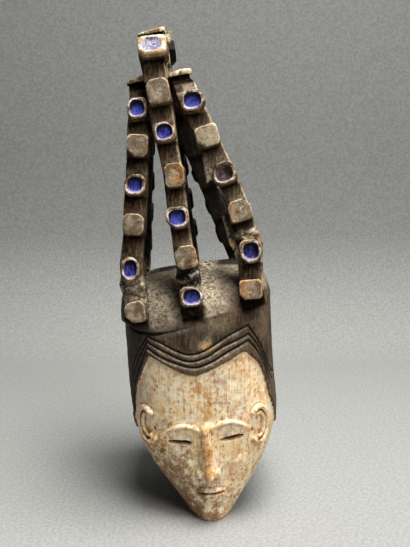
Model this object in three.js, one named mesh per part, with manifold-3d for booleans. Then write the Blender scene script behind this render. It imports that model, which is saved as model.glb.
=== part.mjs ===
// Hand-carved wooden helmet mask: hollow helmet with a face, and a tall openwork crest of
// three arches studded with square pegs. One block of wood, one solid.
// Units mm, +Z up, the face looks to -Y. Everything is laid out in a straight carving frame
// (x across, y back, s up) and then bent by `warp`, because the carving leans to -X.
import * as THREE from 'three';
import * as BufferGeometryUtils from 'three/addons/utils/BufferGeometryUtils.js';
import Module from 'manifold-3d';

const wasm = await Module();
wasm.setup();

// ---- driving dimensions -------------------------------------------------------------------
const RAD = Math.PI / 180;
// lean of the carving
const LEAN = 8.0 * RAD; // lean of the crest to -X
const LEAN_LENGTH = 90; // height over which the lean sets in
const CHIN_X = 7; // the chin stands this far to +X of the helmet's middle
// helmet
const HALF_WIDTH = 87.5; // half width at the ears
const EAR_S = 125; // height where the full width is reached
const CHIN_HALF = 36; // half width of the front quadrant at the floor
const NAPE_HALF = 62; // half width of the back quadrant at the floor
const FRONT_CHIN = 96, FRONT_BROW = 113; // reach of the front from the middle
const BACK_NAPE = 86, BACK_BULGE = 22; // reach of the back
const TOP_S = 281, SHOULDER_S = 238; // top of the dome, and where it starts to round over
const SQUARE_SHOULDER = 3.6; // how square the dome's shoulders are from the front
const DOME_SHIFT = 5.5; // the top of the helmet stands this far to +X of the carving's own line
const WALL = 13, CROWN_WALL = 27;
const SIDE_ARCH = { y: -2, half: 66, height: 112 }; // opening over each shoulder
// face, by thirds between hairline and chin
const HAIR_S = 177; // height of the hairline's middle
const THIRD = HAIR_S / 3;
const BROW_S = HAIR_S - THIRD, NOSE_S = THIRD, MOUTH_S = THIRD * 2 / 3, EYE_S = BROW_S - THIRD * 0.24;
const EYE_X = HALF_WIDTH * 0.36, EYE_HALF = HALF_WIDTH * 0.17, EYE_GAP = 5;
const NOSE_WIDTH = [11, 27], NOSE_REACH = [7, 19];
// ears: C-shaped ridges
const EAR = { x: [-65, 61.5], s: 118, tilt: 6, halfW: 13, halfH: 21, ridge: 4.2 };
// crest
const LEG_DEPTH = 26;
const BEND = 30; // radius of an arch's crown, to its middle line
const RIB_S = 247; // lower ends of the legs, cut square on the helmet's front
const PEG = { w: 24, h: 24, reach: 16, root: 9, chamfer: 2.2, corner: 5.5, socket: 5 };
// One entry for each arch: width at foot and crown, front foot, crown's middle, rear foot, pegs.
// `x` gives the front leg's sideways place at the heights in `at`.
const ARCHES = [
  {
    name: 'centre', pegWide: 1, width: [21.5, 27], at: [RIB_S, 273, 355, 399, 444, 535], x: [3, 3.5, 1.5, 2, -1, -4],
    foot: [-104.5, RIB_S], bend: [-23, 503.5], rear: [80, 262], rearX: [2, 3],
    front: [274, 314.5, 355, 399.5, 444, 487], socket: [1, 0, 1, 0, 1, 0], crownPegs: [[36, 1, 1, 1.3, 13], [86, 0, 1.1, 1.16, 9.5], [136, 0, 0.95, 1, 12]], rearPegs: [478, 436, 394, 352, 314],
  },
  {
    name: 'left', pegWide: 0.96, width: [25, 25], at: [RIB_S, 266, 310, 353, 394, 435, 473, 500], x: [-61, -60.5, -57, -48.5, -41.5, -34, -27, -22],
    foot: [-90, RIB_S], bend: [-20.5, 456], rear: [72, 262], rearX: [-27, -65],
    front: [266, 310, 353, 394, 434.5], socket: [0, 1, 0, 1, 0], crownPegs: [[17, 1, 0.95, 0.94, 15], [84, 0, 1, 1.08, 9], [134, 0, 0.95, 1, 12]], rearPegs: [424, 384, 344, 306],
  },
  {
    name: 'right', pegWide: 1.1, width: [25, 25.5], at: [RIB_S, 272, 311, 353, 393, 435, 472, 500], x: [66, 67, 70.5, 65.5, 55, 41.5, 29, 22.5],
    foot: [-90, RIB_S], bend: [-20.5, 456], rear: [72, 262], rearX: [16, 64],
    front: [272, 311, 353, 393, 434.5], socket: [0, 1, 0, 1, 0], crownPegs: [[17, 1, 0.98, 1.08, 15], [84, 0, 1, 1.12, 10], [134, 0, 0.95, 1, 12]], rearPegs: [424, 384, 344, 306],
  },
];
// old repairs at the feet of the front posts: [x, y, s, half width, half depth, half height]
const REPAIRS = [[-57, -93, 289, 15.5, 16, 14], [3.5, -97, 293, 13.5, 17, 11], [71, -83, 322, 15, 18, 15]];

// ---- helpers ------------------------------------------------------------------------------
const clamp = (v, a, b) => Math.min(b, Math.max(a, v));
const mix = (a, b, t) => a + (b - a) * t;
const smooth = (t) => { const u = clamp(t, 0, 1); return u * u * (3 - 2 * u); };
const spow = (v, e) => Math.sign(v) * Math.abs(v) ** e;
const rise = (s) => Math.sin(Math.PI / 2 * clamp(s / EAR_S, 0, 1));

function along(keys, values, at) {
  let i = 0;
  while (i < keys.length - 2 && at > keys[i + 1]) i++;
  return mix(values[i], values[i + 1], (at - keys[i]) / (keys[i + 1] - keys[i]));
}

function warp(x, y, s) {
  const turn = LEAN * (1 - Math.exp(-s / LEAN_LENGTH));
  const spine = CHIN_X - LEAN * (s - LEAN_LENGTH * (1 - Math.exp(-s / LEAN_LENGTH)));
  return [spine + x * Math.cos(turn), y, s + x * Math.sin(turn)];
}

// A closed solid from a vertex list and triangles.
function solid(points, faces) {
  const m = new wasm.Mesh({
    numProp: 3,
    vertProperties: new Float32Array(points.flat()),
    triVerts: new Uint32Array(faces.flat()),
  });
  const made = new wasm.Manifold(m);
  if (made.status() !== 'NoError' && made.status() !== 0 && made.status().value) throw new Error('solid: ' + made.status());
  return made;
}

// Rings of equal length, joined in order and closed by a fan at both ends.
function loft(rings) {
  const n = rings[0].length;
  const points = rings.flat();
  const faces = [];
  for (let r = 0; r < rings.length - 1; r++) {
    for (let i = 0; i < n; i++) {
      const a = r * n + i, b = r * n + (i + 1) % n, c = a + n, d = b + n;
      faces.push([a, b, d], [a, d, c]);
    }
  }
  for (const [r, flip] of [[0, true], [rings.length - 1, false]]) {
    const middle = rings[r].reduce((m, p) => m.map((v, k) => v + p[k] / n), [0, 0, 0]);
    const m = points.push(middle) - 1;
    for (let i = 0; i < n; i++) {
      const a = r * n + i, b = r * n + (i + 1) % n;
      faces.push(flip ? [m, b, a] : [m, a, b]);
    }
  }
  const made = solid(points, faces);
  return made.volume() < 0 ? solid(points, faces.map(([a, b, c]) => [a, c, b])) : made;
}

// ---- helmet -------------------------------------------------------------------------------
const shift = (s) => DOME_SHIFT * smooth((s - 140) / 120);
const crown = (s, shoulder, top, e = 2.3) => s <= shoulder ? 1 : Math.max((1 - clamp((s - shoulder) / (top - shoulder), 0, 1) ** e) ** (1 / e), 0.02);
const bow = (s) => mix(2.05, 2.75, smooth(s / 100)); // squareness of the front
const frontReach = (s) => FRONT_CHIN + (FRONT_BROW - FRONT_CHIN) * Math.sin(Math.PI / 2 * clamp(s / 190, 0, 1)) - Math.max(0, s - 190) * 0.05;
const backReach = (s) => BACK_NAPE + BACK_BULGE * Math.sin(Math.PI * clamp(s / 340, 0, 1));
const frontHalf = (s) => mix(CHIN_HALF, HALF_WIDTH, rise(s) ** 0.9);
const backHalf = (s) => mix(NAPE_HALF, HALF_WIDTH, rise(s));

// One level of the helmet, `inset` inside the outer surface.
function level(s, count, inset = 0, shoulder = SHOULDER_S, top = TOP_S) {
  const ring = [];
  const close = crown(s, shoulder, top), across = crown(s, shoulder, top, SQUARE_SHOULDER);
  for (let i = 0; i < count; i++) {
    const phi = (i / count) * 2 * Math.PI; // 0 at the front, a quarter turn at +X
    const back = Math.cos(phi) < 0;
    const aside = Math.min(phi, 2 * Math.PI - phi) / Math.PI; // 0 front, 1 back
    const half = mix(frontHalf(s), backHalf(s), smooth((aside - 0.33) / 0.34)) - inset;
    const e = 2 / (back ? 2.7 : bow(s));
    const reach = (back ? backReach(s) : frontReach(s)) - inset;
    ring.push([shift(s) + half * across * spow(Math.sin(phi), e), -reach * close * spow(Math.cos(phi), e), s]);
  }
  return ring;
}

// y of the outer surface of the helmet's front.
function skin(x, s) {
  const close = crown(s, SHOULDER_S, TOP_S), across = crown(s, SHOULDER_S, TOP_S, SQUARE_SHOULDER);
  const t = clamp(Math.abs(x - shift(s)) / (frontHalf(s) * across), 0, 0.995);
  return -frontReach(s) * close * (1 - t ** bow(s)) ** (1 / bow(s));
}

const levels = (low, shoulder, top, straight, curved) => {
  const list = [];
  for (let i = 0; i < straight; i++) list.push(mix(low, shoulder, i / straight));
  for (let i = 0; i <= curved; i++) list.push(shoulder + (top - shoulder) * Math.sin(Math.PI / 2 * i / curved));
  return list;
};

const outer = loft(levels(0, SHOULDER_S, TOP_S, 10, 7).map((s) => level(s, 44)));
const innerTop = TOP_S - CROWN_WALL, innerShoulder = SHOULDER_S - CROWN_WALL - 8;
const inner = loft(levels(-6, innerShoulder, innerTop, 7, 4).map((s) =>
  level(Math.max(s, 0), 28, WALL, innerShoulder, innerTop).map(([x, y]) => [x, y, s])));

const sideArch = (() => {
  const ring = (x) => {
    const list = [];
    for (let i = 0; i <= 20; i++) {
      const a = Math.PI * i / 20;
      list.push([x, SIDE_ARCH.y + SIDE_ARCH.half * Math.cos(a), SIDE_ARCH.height * Math.sin(a) - 0.01]);
    }
    list.push([x, SIDE_ARCH.y - SIDE_ARCH.half, -9], [x, SIDE_ARCH.y + SIDE_ARCH.half, -9]);
    return list;
  };
  return loft([ring(-140), ring(140)]);
})();

// ---- face ---------------------------------------------------------------------------------
function nose() {
  const rings = [];
  for (let i = 0; i <= 6; i++) {
    const t = i / 6, s = mix(BROW_S + 4, NOSE_S, t);
    const w = mix(NOSE_WIDTH[0], NOSE_WIDTH[1], t ** 1.6), h = mix(NOSE_REACH[0], NOSE_REACH[1], t ** 1.2);
    const y = skin(0, s);
    rings.push([[-w / 2, y + 5, s], [-w * 0.46, y - h * 0.3, s], [-w * 0.2, y - h * 0.92, s], [0, y - h, s],
      [w * 0.2, y - h * 0.92, s], [w * 0.46, y - h * 0.3, s], [w / 2, y + 5, s]]);
  }
  const last = rings[rings.length - 1];
  rings.push(last.map(([x, y, s]) => [x * 0.8, Math.max(y, skin(0, s) - NOSE_REACH[1] * 0.6) + 1.5, s - 5]));
  return loft(rings);
}

// A ridge along a line of [x, s] on the front, standing `reach` proud and `half` to each side.
function ridge(line, half, reach) {
  return loft(line.map(([x, s], i) => {
    const a = line[Math.max(0, i - 1)], b = line[Math.min(line.length - 1, i + 1)];
    const d = Math.hypot(b[0] - a[0], b[1] - a[1]), nx = -(b[1] - a[1]) / d, ns = (b[0] - a[0]) / d;
    const end = i === 0 || i === line.length - 1 ? 0.55 : 1;
    const at = (o, up) => { const px = x + nx * o * end, ps = s + ns * o * end; return [px, skin(px, ps) - up, ps]; };
    return [at(-half, -4), at(-half * 0.75, reach * 0.5 * end), at(0, reach * end), at(half * 0.75, reach * 0.5 * end), at(half, -4)];
  }));
}

function brow(side) {
  const line = [];
  for (let i = 0; i <= 9; i++) {
    const t = i / 9;
    line.push([side * mix(5, HALF_WIDTH * 0.62, t), BROW_S - 3 + 13 * Math.sin(Math.PI * clamp(t * 0.92 + 0.04, 0, 1)) - 9 * t]);
  }
  return ridge(line, 3.2, 4.2);
}

function lens(x, s, half, gap, y0, y1, n = 12) {
  const ring = (y) => {
    const list = [];
    for (let i = 0; i < n; i++) {
      const a = 2 * Math.PI * i / n;
      list.push([x + half * Math.cos(a), y, s + gap / 2 * Math.sin(a) * (1 - 0.35 * Math.cos(a) ** 2)]);
    }
    return list;
  };
  return loft([ring(y0), ring(y1)]);
}

function mound(x, y, s, rx, ry, rs, detail = 1, jitter = 0) {
  const g = BufferGeometryUtils.mergeVertices((() => {
    const q = new THREE.IcosahedronGeometry(1, detail);
    q.deleteAttribute('normal'); q.deleteAttribute('uv');
    return q;
  })(), 1e-5);
  const p = g.attributes.position, points = [], faces = [];
  for (let i = 0; i < p.count; i++) {
    const k = 1 + jitter * Math.sin(i * 12.9898 + x);
    points.push([x + rx * k * p.getX(i), y + ry * k * p.getY(i), s + rs * k * p.getZ(i)]);
  }
  for (let i = 0; i < g.index.count; i += 3) faces.push([g.index.getX(i), g.index.getX(i + 1), g.index.getX(i + 2)]);
  return solid(points, faces);
}

function ear(side) {
  const parts = [];
  for (const [kw, kh, from, to, half, reach] of [[1, 1, 60, 300, EAR.ridge, 7], [0.5, 0.58, 80, 290, EAR.ridge * 0.72, 5]]) {
    const line = [], n = 11;
    for (let i = 0; i <= n; i++) {
      const a = mix(from, to, i / n) * RAD; // open towards the face
      line.push([(side < 0 ? EAR.x[0] : EAR.x[1]) - side * EAR.halfW * kw * Math.cos(a), EAR.s - side * EAR.tilt + EAR.halfH * kh * Math.sin(a)]);
    }
    parts.push(ridge(line, half, reach));
  }
  return parts;
}

// ---- crest --------------------------------------------------------------------------------
// The middle line of an arch: up the front leg, round the crown, down the rear leg.
function archLine(arch) {
  const [cy, cs] = arch.bend, line = [];
  for (let i = 0; i <= 9; i++) {
    const t = i / 9;
    line.push([mix(arch.foot[0], cy - BEND, t), mix(arch.foot[1], cs, t)]);
  }
  for (let i = 1; i < 8; i++) {
    const a = Math.PI * i / 8;
    line.push([cy - BEND * Math.cos(a), cs + BEND * Math.sin(a)]);
  }
  for (let i = 0; i <= 6; i++) {
    const t = i / 6;
    line.push([mix(cy + BEND, arch.rear[0], t), mix(cs, arch.rear[1], t)]);
  }
  return line;
}

// Sideways place of the arch at a point of its middle line.
function archX(arch, y, s) {
  const [cy, cs] = arch.bend;
  const front = along(arch.at, arch.x, Math.min(s, arch.at[arch.at.length - 1]));
  const rear = mix(arch.rearX[0], arch.rearX[1], clamp((cs - s) / (cs - arch.rear[1]), 0, 1));
  return mix(front, rear, smooth((y - (cy - BEND)) / (2 * BEND)));
}

// The rear leg is a little slimmer, so its pegs stand out past it.
const archWidth = (arch, y, s) => mix(arch.width[0], arch.width[1], smooth((s - 380) / 130)) * mix(1, 0.86, smooth((y - arch.bend[0]) / BEND));

function archBar(arch) {
  const line = archLine(arch);
  const place = line.map(([y, s]) => [archX(arch, y, s), y, s]);
  return loft(place.map(([x, y, s], i) => {
    const a = line[Math.max(0, i - 1)], b = line[Math.min(line.length - 1, i + 1)];
    const d = Math.hypot(b[0] - a[0], b[1] - a[1]), ny = -(b[1] - a[1]) / d, ns = (b[0] - a[0]) / d; // outward
    const w = archWidth(arch, y, s) / 2, h = LEG_DEPTH / 2, c = 3.2;
    return [[-w, h - c], [-w + c, h], [w - c, h], [w, h - c], [w, -h + c], [w - c, -h], [-w + c, -h], [-w, -h + c]]
      .map(([px, pn]) => [x + px, y + ny * pn, s + ns * pn]);
  }));
}

// A square peg with cut corners; `up` is how far its axis tilts up from the horizontal.
function peg(x, y, s, up, turn, size, socket, wide = 1, reach = PEG.reach) {
  const axis = new THREE.Vector3(Math.sin(turn), -Math.cos(turn) * Math.cos(up), Math.sin(up)).normalize();
  const right = new THREE.Vector3(Math.cos(turn), Math.sin(turn), 0);
  const head = new THREE.Vector3().crossVectors(right, axis).normalize();
  const side = new THREE.Vector3().crossVectors(axis, head).normalize();
  const ring = (scale, out, round = 0) => {
    const w = PEG.w * size * wide / 2 * scale, h = PEG.h * size / 2 * scale, c = mix(PEG.corner * size * scale, Math.min(w, h) * 0.6, round);
    return [[-w, h - c], [-w + c, h], [w - c, h], [w, h - c], [w, -h + c], [w - c, -h], [-w + c, -h], [-w, -h + c]]
      .map(([a, b]) => [x + side.x * a + head.x * b + axis.x * out, y + side.y * a + head.y * b + axis.y * out, s + side.z * a + head.z * b + axis.z * out]);
  };
  const k = reach, c = PEG.chamfer;
  const rings = turn === 0 ? [ring(0.94, -PEG.root), ring(1, k - c), ring(1 - 2 * c / PEG.w, k)] : [ring(0.96, -PEG.root), ring(0.94, k)];
  if (socket) rings.push(ring(0.66, k, 0.6), ring(0.42, k - PEG.socket, 0.9));
  else if (turn === 0 && up > 1.2) rings.splice(1, 2, ring(0.88, k - 5.4), ring(1, k - 4.4), ring(0.98, k)); // a thin slab on the crown
  return loft(rings);
}

function archPegs(arch) {
  const line = archLine(arch), [cy, cs] = arch.bend, list = [];
  const slope = Math.atan2(cy - BEND - arch.foot[0], cs - arch.foot[1]);
  const rearSlope = Math.atan2(arch.rear[0] - cy - BEND, cs - arch.rear[1]);
  arch.front.forEach((s, i) => {
    const y = arch.foot[0] + (s - arch.foot[1]) * Math.tan(slope);
    const out = LEG_DEPTH / 2;
    list.push(peg(archX(arch, y, s), y - out * Math.cos(slope), s + out * Math.sin(slope) - 6, slope + 2 * RAD, 0, 1, arch.socket[i], arch.pegWide));
  });
  arch.crownPegs.forEach(([deg, socket, size, wide, reach]) => {
    const a = deg * RAD, r = BEND + LEG_DEPTH / 2, y = cy - r * Math.cos(a), s = cs + r * Math.sin(a);
    const back = deg > 90;
    const x = archX(arch, cy - BEND * Math.cos(a), cs + BEND * Math.sin(a));
    list.push(peg(x, y, s, back ? (180 - deg) * RAD : a, back ? Math.PI : 0, size, socket, wide, reach));
  });
  arch.rearPegs.forEach((s) => {
    const y = cy + BEND + (cs - s) * Math.tan(rearSlope), out = LEG_DEPTH / 2;
    list.push(peg(archX(arch, y, s), y + out * Math.cos(rearSlope), s + out * Math.sin(rearSlope), rearSlope, Math.PI, 0.92, false));
  });
  return { list, line };
}

// ---- assembly -----------------------------------------------------------------------------
let body = outer;
for (const arch of ARCHES) body = body.add(archBar(arch));
body = body.subtract(inner).subtract(sideArch);
for (const arch of ARCHES) for (const p of archPegs(arch).list) body = body.add(p);
REPAIRS.forEach(([x, y, s, rx, ry, rs]) => { body = body.add(mound(x, y, s, rx, ry, rs, 1, 0.05)); });

for (const side of [-1, 1]) {
  body = body.add(brow(side));
  body = body.add(mound(side * EYE_X, skin(side * EYE_X, EYE_S) + 5, EYE_S, EYE_HALF * 1.25, 9, 10, 1));
  for (const part of ear(side)) body = body.add(part);
}
body = body.add(nose());
body = body.add(mound(0, skin(0, MOUTH_S) + 5, MOUTH_S, 20, 11, 9, 1));
for (const side of [-1, 1]) body = body.subtract(lens(side * EYE_X, EYE_S, EYE_HALF, EYE_GAP, -140, -55));
body = body.subtract(lens(0, MOUTH_S, 15, 4, -140, skin(0, MOUTH_S) + 2));

// ---- bend, centre, hand over --------------------------------------------------------------
const raw = body.getMesh();
const count = raw.vertProperties.length / raw.numProp;
const bent = new Float32Array(count * 3);
for (let i = 0; i < count; i++) {
  const [x, y, z] = warp(...[0, 1, 2].map((k) => raw.vertProperties[i * raw.numProp + k]));
  bent.set([x, y, Math.abs(z) < 1e-3 ? 0 : z], i * 3);
}
let geometry = new THREE.BufferGeometry();
geometry.setAttribute('position', new THREE.BufferAttribute(bent, 3));
geometry.setIndex(Array.from(raw.triVerts));
geometry = BufferGeometryUtils.mergeVertices(geometry, 1e-3);
geometry.computeBoundingBox();
const box = geometry.boundingBox;
geometry.translate(-(box.min.x + box.max.x) / 2, -(box.min.y + box.max.y) / 2, -box.min.z);
geometry.computeVertexNormals();

const wood = new THREE.MeshStandardMaterial({ color: 0x6b5645, roughness: 0.75, metalness: 0 });
const mask = new THREE.Mesh(geometry, wood);
mask.name = 'helmet_mask';

const group = new THREE.Group();
group.name = 'helmet_mask_object';
group.add(mask);
export default group;
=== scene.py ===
import math

import bpy
import numpy as np
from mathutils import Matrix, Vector


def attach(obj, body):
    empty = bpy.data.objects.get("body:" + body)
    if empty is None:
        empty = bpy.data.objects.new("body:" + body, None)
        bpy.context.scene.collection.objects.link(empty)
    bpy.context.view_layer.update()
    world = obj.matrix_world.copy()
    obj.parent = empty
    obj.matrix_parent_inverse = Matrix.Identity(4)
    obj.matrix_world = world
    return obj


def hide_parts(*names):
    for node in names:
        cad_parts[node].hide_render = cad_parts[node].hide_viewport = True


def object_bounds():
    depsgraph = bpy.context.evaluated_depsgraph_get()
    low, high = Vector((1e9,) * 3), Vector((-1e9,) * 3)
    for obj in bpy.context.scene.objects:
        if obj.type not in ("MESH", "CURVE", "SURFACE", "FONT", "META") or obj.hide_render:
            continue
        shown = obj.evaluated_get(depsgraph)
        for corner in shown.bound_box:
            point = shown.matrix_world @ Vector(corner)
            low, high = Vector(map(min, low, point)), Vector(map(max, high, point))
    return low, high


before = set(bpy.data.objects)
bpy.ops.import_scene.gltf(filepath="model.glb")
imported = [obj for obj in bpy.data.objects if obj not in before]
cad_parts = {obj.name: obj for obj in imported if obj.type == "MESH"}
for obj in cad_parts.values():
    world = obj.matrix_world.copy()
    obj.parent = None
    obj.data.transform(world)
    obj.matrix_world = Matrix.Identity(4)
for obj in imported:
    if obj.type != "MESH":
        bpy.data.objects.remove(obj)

# The mask is worked out in the same straight carving frame as the CAD: x across, y back,
# s up, in mm. A distance field on a grid is turned into a mesh, the mesh is thinned, bent
# like the CAD and handed over in metres.
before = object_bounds()
STEP = 1.2
FACES = 197_000
F = np.float32

# ---- sizes, as in the CAD -----------------------------------------------------------------
LEAN, LEAN_LENGTH, CHIN_X = math.radians(8.0), 90.0, 7.0
MIDDLE = (5.292, 10.833)  # from the carving frame's axis to the row's
HALF_WIDTH, EAR_S, CHIN_HALF, NAPE_HALF = 87.5, 125.0, 36.0, 62.0
FRONT_CHIN, FRONT_BROW, BACK_NAPE, BACK_BULGE = 96.0, 113.0, 86.0, 22.0
TOP_S, SHOULDER_S, SQUARE, DOME_SHIFT = 281.0, 238.0, 3.6, 5.5
WALL, CROWN_WALL = 13.0, 27.0
ARCH_Y, ARCH_HALF, ARCH_HIGH = -2.0, 66.0, 112.0
HAIR_S = 177.0
THIRD = HAIR_S / 3
BROW_S, NOSE_S, MOUTH_S = HAIR_S - THIRD, THIRD, THIRD * 2 / 3
EYE_S, EYE_X, EYE_HALF = BROW_S - THIRD * 0.24, HALF_WIDTH * 0.36, HALF_WIDTH * 0.17
EAR_X, EAR_AT, EAR_TILT, EAR_W, EAR_H = (-65.0, 61.5), 118.0, 6.0, 13.0, 21.0
LEG_DEPTH, BEND, RIB_S = 26.0, 30.0, 247.0
REACH, ROOT, SOCKET = 16.0, 9.0, 5.5

# Each arch: width at foot and crown, the front leg's sideways place at the heights in `at`,
# front foot, crown's middle and rear foot in (y, s), the rear leg's place at top and foot.
# `front` holds (s, width, height, kind) of the pegs that show: kind 1 is a painted socket.
ARCHES = (
    dict(width=(21.5, 27.0), at=(RIB_S, 273, 355, 399, 444, 535), x=(3, 3.5, 1.5, 2, -1, -4),
         foot=(-104.5, RIB_S), bend=(-23.0, 503.5), rear=(80.0, 262.0), rear_x=(2.0, 3.0),
         front=((274, 26.5, 22.5, 1), (314.5, 23.5, 24, 0), (355, 26, 24, 1), (399.5, 20.8, 25.5, 0), (444, 24.5, 22.8, 1), (487, 24.5, 27, 0)),
         crown=((36, 31.0, 24.5, 2, 13), (86, 30.0, 26.5, 3, 9.5), (141, 27, 22, 0, 12)), back=(478, 436, 394, 352, 314), slab=(0.14, 0.002, -1.6)),
    dict(width=(25.0, 25.0), at=(RIB_S, 266, 310, 353, 394, 435, 473, 500), x=(-60, -59, -57, -47.2, -39.8, -32, -25, -20),
         foot=(-90.0, RIB_S), bend=(-20.5, 456.0), rear=(72.0, 262.0), rear_x=(-27.0, -65.0),
         front=((266, 22.5, 23, 0), (310, 20.5, 28.5, 1), (353, 23, 23, 0), (394, 24.5, 24, 1), (434.5, 23.5, 24, 0)),
         crown=((17, 22, 23.5, 1, 15), (84, 26, 24, 3, 8), (134, 23, 23, 0, 12)), back=(424, 384, 344, 306), slab=(0.16, 0.010, 0.2)),
    dict(width=(25.0, 25.5), at=(RIB_S, 272, 311, 353, 393, 435, 472, 500), x=(70, 70.5, 74, 67.5, 56, 43, 31, 24.5),
         foot=(-90.0, RIB_S), bend=(-20.5, 456.0), rear=(72.0, 262.0), rear_x=(16.0, 64.0),
         front=((272, 24.2, 20.5, 0), (311, 24.8, 26.5, 1), (353, 24.5, 23, 0), (393, 27.5, 25.5, 1), (434.5, 25, 23, 0)),
         crown=((17, 26.5, 23, 1, 15), (84, 27, 24, 3, 9), (134, 23, 23, 0, 12)), back=(424, 384, 344, 306), slab=(0.10, 0.012, 0.6)),
)
# How orange each plain peg is, 0 grey-beige to 1 orange-brown, by arch and height; below 0 it is rubbed pale.
TINTS = {(0, 314.5): 0.6, (0, 399.5): 0.6, (0, 487): 0.12, (1, 266): 0.35, (1, 353): 0.3, (1, 434.5): 0.32, (2, 272): 0.62, (2, 353): 0.42, (2, 434.5): -0.4}
# Small sideways and upward offsets of the pegs that don't sit in the middle of their post.
OFFSETS = {(0, 274): (1.8, -1.0), (0, 314.5): (1.6, 0), (0, 355): (-0.8, 0), (0, 399.5): (2.6, 0), (0, 444): (0.6, 1.0), (0, 487): (1.5, 0.5),
           (1, 266): (1.4, -4.0), (1, 310): (0, -3.4), (1, 434.5): (1.0, 0), (2, 272): (-1.6, -2.5), (2, 311): (0.6, -2.0), (2, 393): (0.8, 0), (2, 434.5): (0.6, 0)}
SPLIT = (15.5, -38.0, 543.0)  # middle of a pale splinter beside the topmost block
FADED = (2, 393)  # the one socket whose blue has gone
# Places mended with resin and crust: x, y, s, half sizes, thickness and how glossy.
REPAIRS = ((-59, -92, 288, 15, 17, 11, 2.8, 0.1), (-46, -97, 274, 7, 13, 19, 1.9, 0.0), (4, -98, 287, 15.5, 18, 16, 1.7, 1.0),
           (73, -84, 324, 14, 18, 6.0, 3.2, 0.45), (59, -86, 306, 5.5, 12, 8, 2.6, 0.3), (87, -84, 316, 3, 12, 8, 1.5, 0.1))
RIDGES = ((-55, -99, 285.5, 7, 2.4), (77, -94, 328, 5, 1.6), (11, -107, 293, 5, 1.4), (1, -107, 287, 9, 1.6))  # strings of glue: x, y, s, half length, thickness


# ---- helpers ------------------------------------------------------------------------------
def clamp01(t):
    return np.clip(t, 0, 1)


def smooth(t):
    t = np.clip(t, 0, 1)
    return t * t * (3 - 2 * t)


def mix(a, b, t):
    return a + (b - a) * t


def smin(a, b, k):
    h = np.clip(0.5 + 0.5 * (b - a) / k, 0, 1)
    return mix(b, a, h) - k * h * (1 - h)


def smax(a, b, k):
    return -smin(-a, -b, k)


def bell(d, width):
    return np.exp(-(d / width) ** 2)


def hash3(i, j, k, seed):
    h = (i * 73856093) ^ (j * 19349663) ^ (k * 83492791) ^ (seed * 2654435761)
    h = (h ^ (h >> 13)) * 1274126177 & 0xFFFFFFFF
    h = (h ^ (h >> 15)) * 2246822519 & 0xFFFFFFFF
    return h ^ (h >> 16)


def noise(p, size, seed):
    """Smooth random values from -1 to 1 at points p, with cells of `size` mm along each axis."""
    q = p / np.asarray(size, float)
    i = np.floor(q).astype(np.int64)
    f = q - i
    f = f * f * (3 - 2 * f)
    out = np.zeros(len(p))
    for a in (0, 1):
        for b in (0, 1):
            for c in (0, 1):
                w = (f[:, 0] if a else 1 - f[:, 0]) * (f[:, 1] if b else 1 - f[:, 1]) * (f[:, 2] if c else 1 - f[:, 2])
                out += w * (hash3(i[:, 0] + a, i[:, 1] + b, i[:, 2] + c, seed) & 0xFFFF)
    return out / 32767.5 - 1


def scoops(p, size, seed):
    """Shallow hollows that meet in ridges, like the marks of a small adze: 0 in a hollow, 1 on a ridge."""
    q = p / np.asarray(size, float)
    i = np.floor(q).astype(np.int64)
    best = np.full(len(p), 9.0)
    for a in (-1, 0, 1):
        for b in (-1, 0, 1):
            for c in (-1, 0, 1):
                n = i + (a, b, c)
                h = hash3(n[:, 0], n[:, 1], n[:, 2], seed)
                at = n + np.stack([(h & 1023), (h >> 10) & 1023, (h >> 20) & 1023], 1) / 1023
                best = np.minimum(best, ((q - at) ** 2).sum(1))
    return np.clip(best, 0, 1)


# ---- shape of the helmet ------------------------------------------------------------------
def rise(s):
    return np.sin(np.pi / 2 * np.clip(s / EAR_S, 0, 1))


def shift(s):
    return DOME_SHIFT * smooth((s - 140) / 120)


def bow(s):
    return mix(2.05, 2.75, smooth(s / 100))


def front_reach(s):
    return FRONT_CHIN + (FRONT_BROW - FRONT_CHIN) * np.sin(np.pi / 2 * np.clip(s / 190, 0, 1)) - np.maximum(0, s - 190) * 0.05


def back_reach(s):
    return BACK_NAPE + BACK_BULGE * np.sin(np.pi * np.clip(s / 340, 0, 1))


def front_half(s):
    return mix(CHIN_HALF, HALF_WIDTH, rise(s) ** 0.9)


def back_half(s):
    return mix(NAPE_HALF, HALF_WIDTH, rise(s))


def helmet(x, y, s, inset=0.0, shoulder=SHOULDER_S, top=TOP_S):
    """Distance to the helmet's surface, `inset` mm inside the outer one. Negative inside."""
    s = np.maximum(s, 0)
    reach = np.where(y > 0, back_reach(s), front_reach(s)) - inset
    n = np.where(y > 0, 2.7, bow(s))
    turn = np.arccos(np.clip(np.abs(y) / reach, 0, 1) ** (n / 2) * np.sign(-y - 1e-9))
    half = mix(front_half(s), back_half(s), smooth((turn / np.pi - 0.33) / 0.34)) - inset
    across = x - shift(s)
    u = (np.abs(across) / half) ** n
    v = (np.abs(y) / reach) ** n
    t = np.maximum(0, (s - shoulder) / (top - shoulder))
    m = 2.3 + (SQUARE - 2.3) * u / (u + v + 1e-9)
    rho = np.maximum(((u + v) ** (m / n) + t ** m) ** (1 / m), 0.05)
    far = np.sqrt(across ** 2 + y ** 2 + np.maximum(0, s - shoulder) ** 2)
    return (far * (1 - 1 / rho)).astype(F)


def skin(x, s):
    """y of the helmet's front."""
    t = np.clip(np.abs(x - shift(s)) / front_half(s), 0, 0.995)
    return -front_reach(s) * (1 - t ** bow(s)) ** (1 / bow(s))


# Distance round the helmet from the middle of the front, by the angle about its axis.
_t = np.linspace(0, np.pi, 721)
_c, _s = np.abs(np.cos(_t)) ** (2 / 2.75) * np.sign(np.cos(_t)), np.sin(_t) ** (2 / 2.75)
_px, _py = HALF_WIDTH * _s, -112.0 * _c
_angle = np.arctan2(_px, -_py)
_round = np.concatenate([[0], np.cumsum(np.hypot(np.diff(_px), np.diff(_py)))])


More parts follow.
